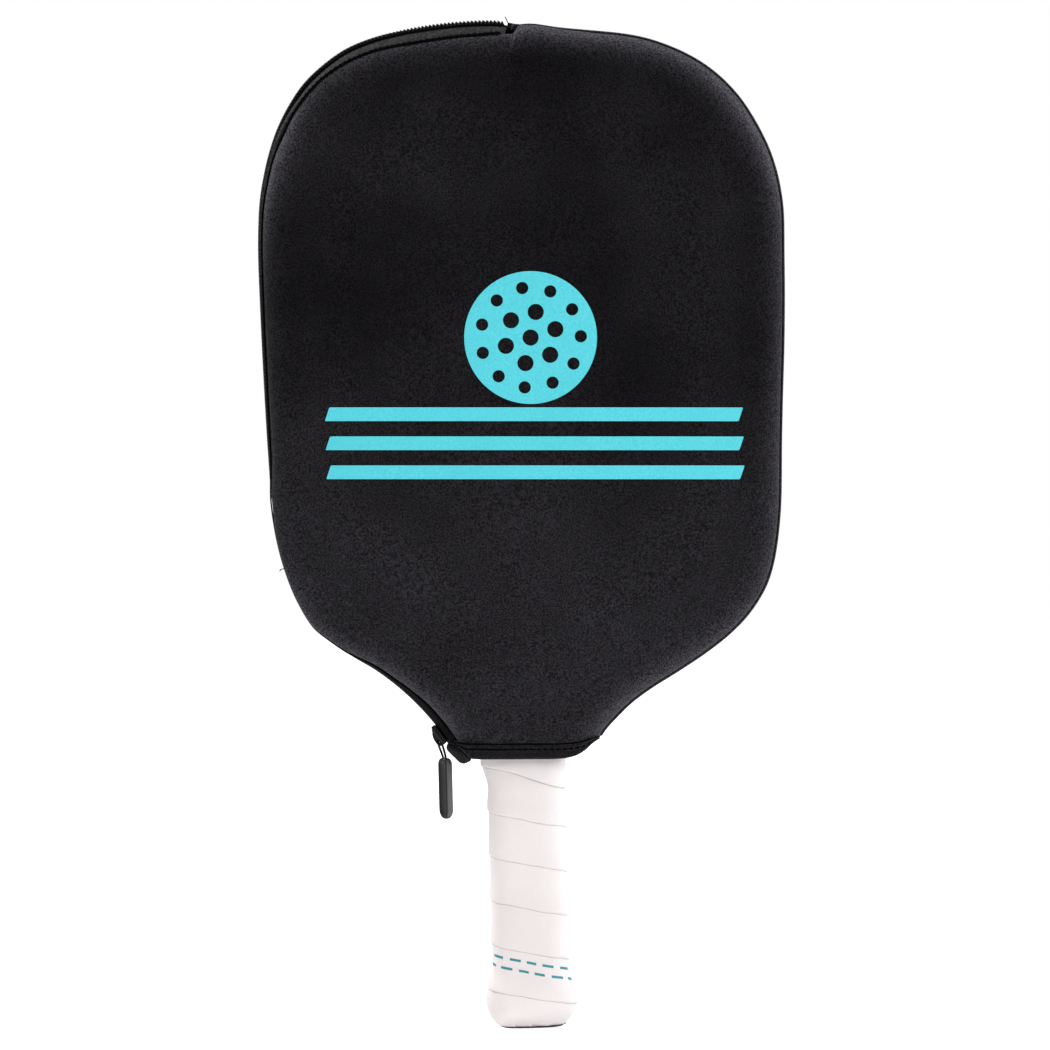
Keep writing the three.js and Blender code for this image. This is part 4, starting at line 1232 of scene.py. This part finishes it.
TAB_TURN = 60  # degrees the tab is turned about Z, clockwise from above
TAB_X, TAB_BOTTOM, TAB_TOP = -35.9, 85.6, 110.6
WIRE_HALF = [  # one leg of the wire, up from the tab: (sideways, x, z)
    (1.2, TAB_X, 107.6), (1.25, TAB_X - 0.05, 109.6), (1.55, TAB_X - 0.45, 111.8),
    (1.85, -37.0, 114.0), (1.9, -37.7, 116.2), (1.15, EYE[0], 117.55),
]


def build_wire():
    turn = math.radians(90 - TAB_TURN - 5)
    side_x, side_y = math.sin(turn), -math.cos(turn)
    stations = [(-side, x, z) for side, x, z in WIRE_HALF] + [(0, *EYE)] + WIRE_HALF[::-1]
    path = [(x + side * side_x, side * side_y, z) for side, x, z in stations]
    parts = Parts()
    parts.tube(spline(path, 90), 0.47, 10)
    return parts.make("pull_wire_loop", looks["wire_enamel"])


wire = build_wire()
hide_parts("pull_wire")


def tab_outline():
    """A tall slab with a round lower end and rounded upper corners, from z = 0."""
    half, top_radius, height = 4.0, 2.8, TAB_TOP - TAB_BOTTOM
    corners = [
        (half * math.cos(angle), half + half * math.sin(angle))
        for angle in np.linspace(math.pi, 2 * math.pi, 18)
    ]
    for x, start in ((half - top_radius, 0), (-half + top_radius, math.pi / 2)):
        for angle in np.linspace(start, start + math.pi / 2, 9):
            corners.append((
                x + top_radius * math.cos(angle),
                height - top_radius + top_radius * math.sin(angle),
            ))
    corners = np.array(corners)
    # split the long sides
    result = []
    for i, start in enumerate(corners):
        end = corners[(i + 1) % len(corners)]
        count = max(1, int(np.linalg.norm(end - start) / 1.6))
        result += [start + (end - start) * j / count for j in range(count)]
    return np.array(result)


def build_tab():
    """A slab whose faces are shallow recesses inside a raised rim."""
    verts, faces = rounded_plate(tab_outline(), half=1.5, radius=1.0, steps=5)
    item = make("pull_tab_moulded", verts, faces[:-2], looks["tab_rubber"], scale=1)
    edit = bmesh.new()
    edit.from_mesh(item.data)
    for side in (-1, 1):
        edges = [
            edge for edge in edit.edges
            if edge.is_boundary and edge.verts[0].co.y * side > 0
        ]
        for inset, rise in ((0.55, 0.0), (0.35, -0.28), (0.9, -0.05)):
            made = bmesh.ops.extrude_edge_only(edit, edges=edges)["geom"]
            ring = [part for part in made if isinstance(part, bmesh.types.BMVert)]
            heights = [vert.co.z for vert in ring]
            middle_z = (max(heights) + min(heights)) / 2
            half_z = (max(heights) - min(heights)) / 2
            half_x = max(vert.co.x for vert in ring)
            for vert in ring:
                vert.co.x *= (half_x - inset) / half_x
                vert.co.z = middle_z + (vert.co.z - middle_z) * (half_z - inset) / half_z
                vert.co.y += rise * side
            edges = [part for part in made if isinstance(part, bmesh.types.BMEdge)]
        bmesh.ops.holes_fill(edit, edges=edges, sides=0)
    bmesh.ops.recalc_face_normals(edit, faces=edit.faces)
    store(edit, item.data)
    item.data.set_sharp_from_angle(angle=math.radians(48))
    item.data.transform(
        Matrix.Translation((TAB_X * MM, 0, TAB_BOTTOM * MM))
        @ Matrix.Rotation(math.radians(-TAB_TURN), 4, "Z")
        @ Matrix.Scale(MM, 4)
    )
    return item


tab = build_tab()
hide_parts("pull_tab")

# ---------------------------------------------------------------- side seam and loose ends
SEAM_IN = 0.6  # inset of the right side's seam


def build_side_seam():
    parts = Parts()
    parts.tube(RIGHT.inset(np.linspace(0.02, 0.93, 420), SEAM_IN, -3.2), 0.42, 6)
    return parts.make("side_seam_cord", looks["knit_seam"])


def build_seam_thread():
    """Short stitches along the cord."""
    pitch, stitch = 3.0, 1.9
    parts = Parts()
    for start in np.arange(0.03 * RIGHT.length, 0.92 * RIGHT.length, pitch):
        share = np.linspace(start, start + stitch, 4) / RIGHT.length
        y = -3.55 - 0.1 * np.sin(np.linspace(0, np.pi, 4))
        parts.tube(RIGHT.inset(share, SEAM_IN, y), 0.16, 5)
    return parts.make("side_seam_thread", looks["seam_thread"])


LOOSE_ENDS = (  # (x, y, z) along two loose threads
    [(-97.6, -3.4, 189.9), (-100.6, -3.8, 189.6), (-101.0, -3.9, 189.2), (-101.4, -4.1, 188.8)],
    [(-2.3, -2.2, 410.2), (-2.9, -2.3, 411.6), (-3.3, -2.4, 412.5), (-3.5, -2.4, 413.0)],
)


def build_loose_ends():
    parts = Parts()
    for path in LOOSE_ENDS:
        parts.tube(spline(path, 10), 0.2, 5)
    return parts.make("thread_ends", looks["thread"])


side_seam = build_side_seam()
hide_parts("side_seam")
seam_thread = build_seam_thread()
loose_ends = build_loose_ends()


# ---------------------------------------------------------------- print on the front cloth
def drape(name, shapes):
    """Thin ink laid on the cloth; each shape is an outline and its holes, in (x, z)."""
    lift, thickness, step = 0.1, 0.14, 2.4
    edit = bmesh.new()
    for rings in shapes:
        triangles = tessellate_polygon([[Vector((x, z, 0)) for x, z in ring] for ring in rings])
        verts = [edit.verts.new((x, 0, z)) for ring in rings for x, z in ring]
        for triangle in triangles:
            try:
                edit.faces.new([verts[i] for i in triangle])
            except ValueError:
                # guards against a triangle that is repeated or names a vert twice
                pass
    # cut into small cells, so that the ink can follow the cloth
    for axis, gap in ((0, step), (2, step * 1.6)):
        values = [vert.co[axis] for vert in edit.verts]
        normal = (1, 0, 0) if axis == 0 else (0, 0, 1)
        for place in np.arange(math.floor(min(values) / gap) * gap
                               if axis == 0 else math.floor(min(values) / step) * step,
                               max(values), gap):
            bmesh.ops.bisect_plane(
                edit,
                geom=edit.verts[:] + edit.edges[:] + edit.faces[:],
                plane_co=[place * part for part in normal],
                plane_no=normal,
                dist=1e-5,
            )
    for vert in edit.verts:
        vert.co.y = front_y(vert.co.x, vert.co.z) - lift
    bmesh.ops.recalc_face_normals(edit, faces=edit.faces)
    if sum(face.normal.y for face in edit.faces) > 0:
        bmesh.ops.reverse_faces(edit, faces=edit.faces)
    for part in bmesh.ops.extrude_face_region(edit, geom=edit.faces[:])["geom"]:
        if isinstance(part, bmesh.types.BMVert):
            part.co.y -= thickness
    bmesh.ops.recalc_face_normals(edit, faces=edit.faces)
    for vert in edit.verts:
        vert.co *= MM
    mesh = bpy.data.meshes.new(name)
    store(edit, mesh)
    mesh.materials.append(ink_look)
    item = add_object(name, mesh)
    mesh.set_sharp_from_angle(angle=math.radians(40))
    return item


def circle(radius, count, x, z):
    return [
        (x + radius * math.cos(angle), z + radius * math.sin(angle))
        for angle in np.linspace(0, 2 * np.pi, count, endpoint=False)
    ]


BALL_X, BALL_Z, BALL_RADIUS = 3.5, 281.2, 27.0
# Rings of holes: (count, ring radius, first angle, hole radius)
BALL_HOLES = ((1, 0, 0, 3.3), (6, 10.6, 0.3, 3.3), (11, 20.4, 0, 2.5))
STRIPE_HEIGHTS = (250.0, 238.2, 226.4)
STRIPE_LEFT, STRIPE_RIGHT, STRIPE_HALF = -81.0, 89.2, 2.8
STRIPE_SLOPE = 0.0255  # fall towards the right
STRIPE_SLANT = 2  # how far the slanted ends lean


def build_ball():
    rings = [circle(BALL_RADIUS, 96, BALL_X, BALL_Z)]
    for count, distance, first, radius in BALL_HOLES:
        for i in range(count):
            angle = i * 2 * math.pi / count + first
            x = BALL_X + distance * math.cos(angle)
            z = BALL_Z + distance * math.sin(angle)
            rings.append(circle(radius, 26, x, z)[::-1])
    return drape("print_ball", [rings])


def build_stripes():
    middle_x = (STRIPE_LEFT + STRIPE_RIGHT) / 2
    shapes = []
    for height in STRIPE_HEIGHTS:
        corners = [
            (x, height - (x - middle_x) * STRIPE_SLOPE + rise)
            for x, rise in (
                (STRIPE_LEFT, -STRIPE_HALF),
                (STRIPE_RIGHT - STRIPE_SLANT, -STRIPE_HALF),
                (STRIPE_RIGHT, STRIPE_HALF),
                (STRIPE_LEFT + STRIPE_SLANT, STRIPE_HALF),
            )
        ]
        shapes.append([round_corners(corners, 0.5, 3)])
    return drape("print_stripes", shapes)


ball = build_ball()
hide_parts("emblem_on_flap", "emblem_fixed")
stripes = build_stripes()
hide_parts(*[f"stripe_{i}_{k}" for i in (1, 2, 3) for k in ("on_flap", "fixed")])

# ---------------------------------------------------------------- handle
HANDLE_X = -2.95
WRAP_PITCH = 18.0  # the wrap climbs this much a turn
LAP_Z = 89.5  # height of one overlap at the handle's left side
LAP_OFFSET = LAP_Z % WRAP_PITCH
WRAP_BOTTOM, WRAP_TOP = 0.95, 108.6
WRAP_TURNS = range(-2, 8)
COLLAR_TOP = 112.6
# Rows of the wrap's mesh, as parts of a turn
LAP_PARTS = np.array([
    0, 0.012, 0.03, 0.055, 0.1, 0.16, 0.24, 0.33, 0.43, 0.53, 0.63, 0.73, 0.82, 0.89, 0.94,
    0.97, 0.985,
])


def base_half(z):
    """Half width and half depth of the handle."""
    z = np.asarray(z, float)
    flare = smooth((23 - z) / 11)
    top = smooth((z - 97) / 15)
    rounding = 6.3 * np.clip(1 - z / 11, 0, 1) ** 2.2
    half_width = 15.95 + 2.9 * flare + 1.25 * smooth((z - 98) / 10) - rounding
    half_depth = (12.9 + 2.0 * flare) * (1 - top) + 10.3 * top - rounding
    return half_width, half_depth


def section(angle, half_width, half_depth):
    """A rounded rectangle close to the handle's worn octagon."""
    power = 3.1
    cos, sin = np.cos(angle), np.sin(angle)
    radius = np.abs(cos / half_width) ** power + np.abs(sin / half_depth) ** power
    radius = radius ** (-1 / power)
    return radius * cos, radius * sin


def wrap_point(angle, z, extra):
    """A point on the wrap; the handle's top leans a little towards the zip side."""
    half_width, half_depth = base_half(z)
    x, y = section(angle, half_width - 0.3 + extra, half_depth - 0.3 + extra)
    middle = HANDLE_X - 0.95 * smooth((np.asarray(z, float) - 98) / 10)
    return float(middle) + x, y, z


def lap_z(turn, part, angle):
    """Height of a wrap row, a little uneven in each turn."""
    wobble = 0.35 * ripple(math.cos(angle) * 1.3, math.sin(angle) * 1.3, turn)
    climb = WRAP_PITCH * (angle + np.pi) / (2 * np.pi)
    return (turn + part) * WRAP_PITCH + LAP_OFFSET - climb + wobble


def wrap_ripple(angle, z):
    return 0.14 * ripple(math.cos(angle) * 2.2, math.sin(angle) * 2.2, z / 7.0)


def wrap_calm(z):
    """The wrap's relief flattens towards the collar."""
    return 1 - 0.7 * float(smooth((z - 96) / 5))


def close_wrap_ends(mesh):
    """Turn the wrap's open edges in at both ends."""
    edit = bmesh.new()
    edit.from_mesh(mesh)
    for height, insets, rise in (
        (WRAP_BOTTOM, (0.6, 1.9), -0.5), (WRAP_TOP, (0.4, 1.6), 0.1),
    ):
        edges = [
            edge for edge in edit.edges
            if edge.is_boundary
            and all(abs(vert.co.z / MM - height) < 0.02 for vert in edge.verts)
        ]
        if not edges:  # welding can leave no open edge at an end
            continue
        for inset in insets:
            made = bmesh.ops.extrude_edge_only(edit, edges=edges)["geom"]
            for vert in [part for part in made if isinstance(part, bmesh.types.BMVert)]:
                x, y = vert.co.x / MM - HANDLE_X, vert.co.y / MM
                shrink = 1 - inset / math.hypot(x, y)
                vert.co.x, vert.co.y = (HANDLE_X + x * shrink) * MM, y * shrink * MM
                vert.co.z = (height + rise * min(1, inset)) * MM
            edges = [part for part in made if isinstance(part, bmesh.types.BMEdge)]
    bmesh.ops.recalc_face_normals(edit, faces=edit.faces)
    store(edit, mesh)


def build_grip():
    """Spiral wrap with a raised step at each overlap."""
    rows = []
    for turn in WRAP_TURNS:
        for part in LAP_PARTS:
            step = 0.62 * (1 - smooth(part / 0.5)) * smooth(part / 0.022)
            step = step + 0.10 * math.sin(math.pi * part)
            row = []
            for angle in np.linspace(-np.pi, np.pi, 97):
                z = min(max(lap_z(turn, part, angle), WRAP_BOTTOM), WRAP_TOP)
                extra = (step + wrap_ripple(angle, z)) * wrap_calm(z)
                row.append(wrap_point(angle, z, extra))
            rows.append(row)
    faces = grid_faces(len(rows), len(rows[0]))
    item = make("grip_wrap_turns", rows, faces, grip_look, weld=0.01)
    close_wrap_ends(item.data)
    return item


def collar_bottom(angle):
    return 102.4 - 5.0 * math.cos(angle) + 0.3 * math.sin(3 * angle)


def build_collar():
    """A closed band of tape over the wrap's upper end."""
    count, rows, lift, thickness = 96, 14, 0.62, 1.0
    rings = []
    for angle in np.linspace(0, 2 * np.pi, count, endpoint=False):
        low = collar_bottom(angle)
        outer, inner = [], []
        for part in np.linspace(0, 1, rows):
            z = low + (COLLAR_TOP - low) * part
            near_edge = min(part, 1 - part) * (COLLAR_TOP - low) / 0.5
            rounding = 0.25 * (1 - min(1, near_edge)) ** 2
            waves = 0.08 * ripple(math.cos(angle) * 2, math.sin(angle) * 2, z / 3)
            outer.append(wrap_point(angle, z, lift + waves - rounding))
            inner.append(wrap_point(angle, z, lift + waves - thickness))
        rings.append(outer + inner[::-1])
    faces = grid_faces(count, 2 * rows, wrap_rows=True, wrap_cols=True)
    return make("collar_tape_band", rings, faces, looks["collar_tape"])


def crease(height, extra):
    """A path round the wrap; height is a function of angle."""
    path = []
    for angle in np.linspace(-np.pi, np.pi, 121):
        z = height(angle)
        relief = wrap_ripple(angle, z) * wrap_calm(z)
        path.append(wrap_point(angle, z, relief + extra))
    return np.array(path)


def build_crease_shade():
    """Thin tubes painted as the shade in the crease under each overlap of the wrap, and under
    the collar.
    """
    parts = Parts()
    for turn in WRAP_TURNS:
        path = crease(lambda angle: lap_z(turn, 0, angle) - 0.1, 0.03)
        shown = (path[:, 2] > 1.6) & (path[:, 2] < 100.0)
        if shown.sum() > 5:
            parts.tube(path[shown], 0.15, 6)
    parts.tube(crease(lambda angle: collar_bottom(angle) - 0.08, 0.34), 0.17, 6)
    return parts.make("grip_wrap_crease_shade", looks["wrap_crease_shade"])


BUTT_RINGS = (  # (z, inset from the handle's side)
    (14.0, 3.0), (2.2, 3.0), (1.7, 1.6), (1.2, 0.7), (0.75, 0.55), (0.35, 0.9), (0.08, 1.9),
    (0.0, 3.2), (0.0, 5.0), (0.35, 5.6), (0.35, 8.0),
)


def build_butt():
    """A shallow dome with a stepped rim."""
    count = 96
    angles = np.linspace(0, 2 * np.pi, count, endpoint=False)
    rings = []
    for z, inset in BUTT_RINGS:
        half_width, half_depth = base_half(max(z, 1.0))
        x, y = section(angles, half_width - inset, half_depth - inset)
        rings.append(np.stack([HANDLE_X + x, y, np.full(count, z)], 1))
    faces = capped_faces(len(rings), count)
    return make("butt_cap_moulded", rings, faces, looks["butt_rubber_shade"], sharp=55)


def build_dashes(grip):
    """Two rows of printed dashes on the front, which follow the wrap's climb."""
    tree = BVHTree.FromObject(grip, bpy.context.evaluated_depsgraph_get())

    def on_grip(angle, z, lift):
        outward = Vector((math.cos(angle), math.sin(angle), 0))
        hit = tree.ray_cast(Vector((HANDLE_X * MM, 0, z * MM)) + outward * 0.06, -outward)
        point = hit[0] + outward * lift * MM
        return point.x / MM, point.y / MM, point.z / MM

    count = 13  # dashes in a full turn
    parts = Parts()
    for row, rise in enumerate((2.0, -2.0)):
        for i in range(count):
            start = 2 * math.pi * (i + 0.5 * row) / count - math.pi
            if start > 0.0 or start < -0.97 * math.pi:
                continue
            rings = []
            for part in np.linspace(0, 1, 9):
                angle = start + part * 2 * math.pi / count * 0.62
                middle = 29.6 - WRAP_PITCH * (angle + math.pi) / (2 * math.pi) + rise
                heights = [middle + offset for offset in (-0.5, -0.25, 0, 0.25, 0.5)]
                rings.append(
                    [on_grip(angle, z, 0.1) for z in heights]
                    + [on_grip(angle, z, -0.25) for z in heights[::-1]]
                )
            parts.add(rings, capped_faces(9, 10))
    return parts.make("grip_band_dashes", band_ink(ink_look), sharp=45)


grip = build_grip()
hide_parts("grip_wrap")
collar = build_collar()
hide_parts("grip_collar")
crease_shade = build_crease_shade()
butt = build_butt()
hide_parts("butt_cap")
dashes = build_dashes(grip)
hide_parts("grip_band")

# ---------------------------------------------------------------- CAD pieces kept as they are
for node, look in (
    ("paddle_core", looks["honeycomb_core"]),
    ("face_front", face_look),
    ("face_back", face_look),
    ("edge_guard", looks["edge_guard"]),
    ("handle_core", looks["handle_foam"]),
):
    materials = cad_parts[node].data.materials
    materials.clear()
    materials.append(look)

# ---------------------------------------------------------------- bodies: front pieces baked in place, the rest attached
for item, slot in (
    (front_panel, "knit"), (hem_front, "hem"), (stitch_front, "thread"),
    (groove_shade_front, "thread"), (zip_thread_and_shade_front, "thread"), (tape_front, "tape"),
    (coil_front, "coil"), (ball, "print"), (stripes, "print"),
):
    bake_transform(item)
for body, slot, items in (
    ("back_shell", "knit", [back_panel]),
    ("back_shell", "hem", [hem_back]),
    ("back_shell", "thread", [stitch_back, groove_shade_back, zip_thread_and_shade_back]),
    ("back_shell", "tape", [tape_back]),
    ("back_shell", "coil", [coil_back, top_stop, bottom_stop, tape_end]),
    ("back_shell", "thread", [side_seam, seam_thread, loose_ends]),
    ("slider", "slider", [slider]),
    ("pull", "wire", [wire]),
    ("pull", "tab", [tab]),
    ("paddle", "grip", [grip, crease_shade]),
    ("paddle", "collar", [collar]),
    ("paddle", "butt", [butt]),
    ("paddle", "band", [dashes]),
):
    for item in items:
        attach(item, body)


# ---------------------------------------------------------------- stage (metres)
def build_floor():
    """A white disc that the camera sees as glowing."""
    radius, z, count = 6, -0.0015, 64
    shader = Shader("floor")
    shader.finish({
        "Base Color": shader.ramp(shader.noise(scale=3, detail=2), (0.3, 0.93), (0.7, 0.96)),
        "Roughness": 0.9,
        "Emission Color": (1, 1, 1, 1),
        "Emission Strength": shader.node("ShaderNodeLightPath").outputs["Is Camera Ray"],
    })
    verts = [
        (radius * math.cos(angle), radius * math.sin(angle), z)
        for angle in np.linspace(0, 2 * math.pi, count, endpoint=False)
    ]
    return make("floor", verts, [list(range(count))], shader.material, scale=1)


def build_camera():
    """Looks along +Y from the front, rolled a little."""
    data = bpy.data.cameras.new("camera")
    data.lens = 135
    data.sensor_width = 36
    data.clip_start = 0.05
    camera = add_object("camera", data)
    roll = math.radians(1.45)
    forward = Vector((0, 1, 0))
    up = Vector((math.sin(roll), 0, math.cos(roll)))
    right = forward.cross(up).normalized()
    turned = Matrix((right, up, -forward)).transposed().to_4x4()
    camera.matrix_world = Matrix.Translation((-0.0007, -1.6125, 0.2051)) @ turned
    scene.camera = camera


# Square area lights: name, place, aim, size, watts, colour
LIGHTS = (
    ("key_right", (1.7, -1.5, 1.1), (0, 0, 0.2), 1.2, 27, (1.0, 1.0, 1.0)),
    ("fill_left", (-1.8, -1.4, 0.7), (0, 0, 0.2), 1.2, 4.2, (1.0, 0.96, 0.95)),
    ("rim_right", (1.4, 0.5, 0.9), (0, 0, 0.3), 1.0, 11, (0.92, 0.92, 1.0)),
    ("rim_left", (-1.1, 0.5, 1.5), (0, 0, 0.34), 1.0, 26, (1.0, 1.0, 1.0)),
    ("top", (0, -0.3, 2.0), (0, 0, 0.3), 1.4, 5, (1.0, 1.0, 1.0)),
)


def add_light(name, place, aim, size, power, colour):
    data = bpy.data.lights.new(name, "AREA")
    data.shape = "RECTANGLE"
    data.size = data.size_y = size
    data.energy = power
    data.color = colour
    item = add_object(name, data)
    item.location = place
    item.rotation_euler = (Vector(aim) - Vector(place)).to_track_quat("-Z", "Y").to_euler()


def build_world():
    """A dim white light all round that the camera sees as full white."""
    world = bpy.data.worlds.new("world")
    world.use_nodes = True
    scene.world = world
    nodes, links = world.node_tree.nodes, world.node_tree.links
    nodes.clear()
    output = nodes.new("ShaderNodeOutputWorld")
    path = nodes.new("ShaderNodeLightPath")
    mix = nodes.new("ShaderNodeMixShader")
    links.new(path.outputs["Is Camera Ray"], mix.inputs[0])
    for socket, strength in ((1, 0.30), (2, 1.0)):
        background = nodes.new("ShaderNodeBackground")
        background.inputs["Color"].default_value = (1, 1, 1, 1)
        background.inputs["Strength"].default_value = strength
        links.new(background.outputs[0], mix.inputs[socket])
    links.new(mix.outputs[0], output.inputs[0])


floor = build_floor()
floor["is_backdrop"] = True
build_camera()
for light in LIGHTS:
    add_light(*light)
build_world()
scene.view_settings.view_transform = "Standard"
scene.view_settings.look = "None"

vis_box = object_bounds()
plain = lambda b: [[float(c) for c in p] for p in b]
{"cad": plain(cad_box), "visual": plain(vis_box)}
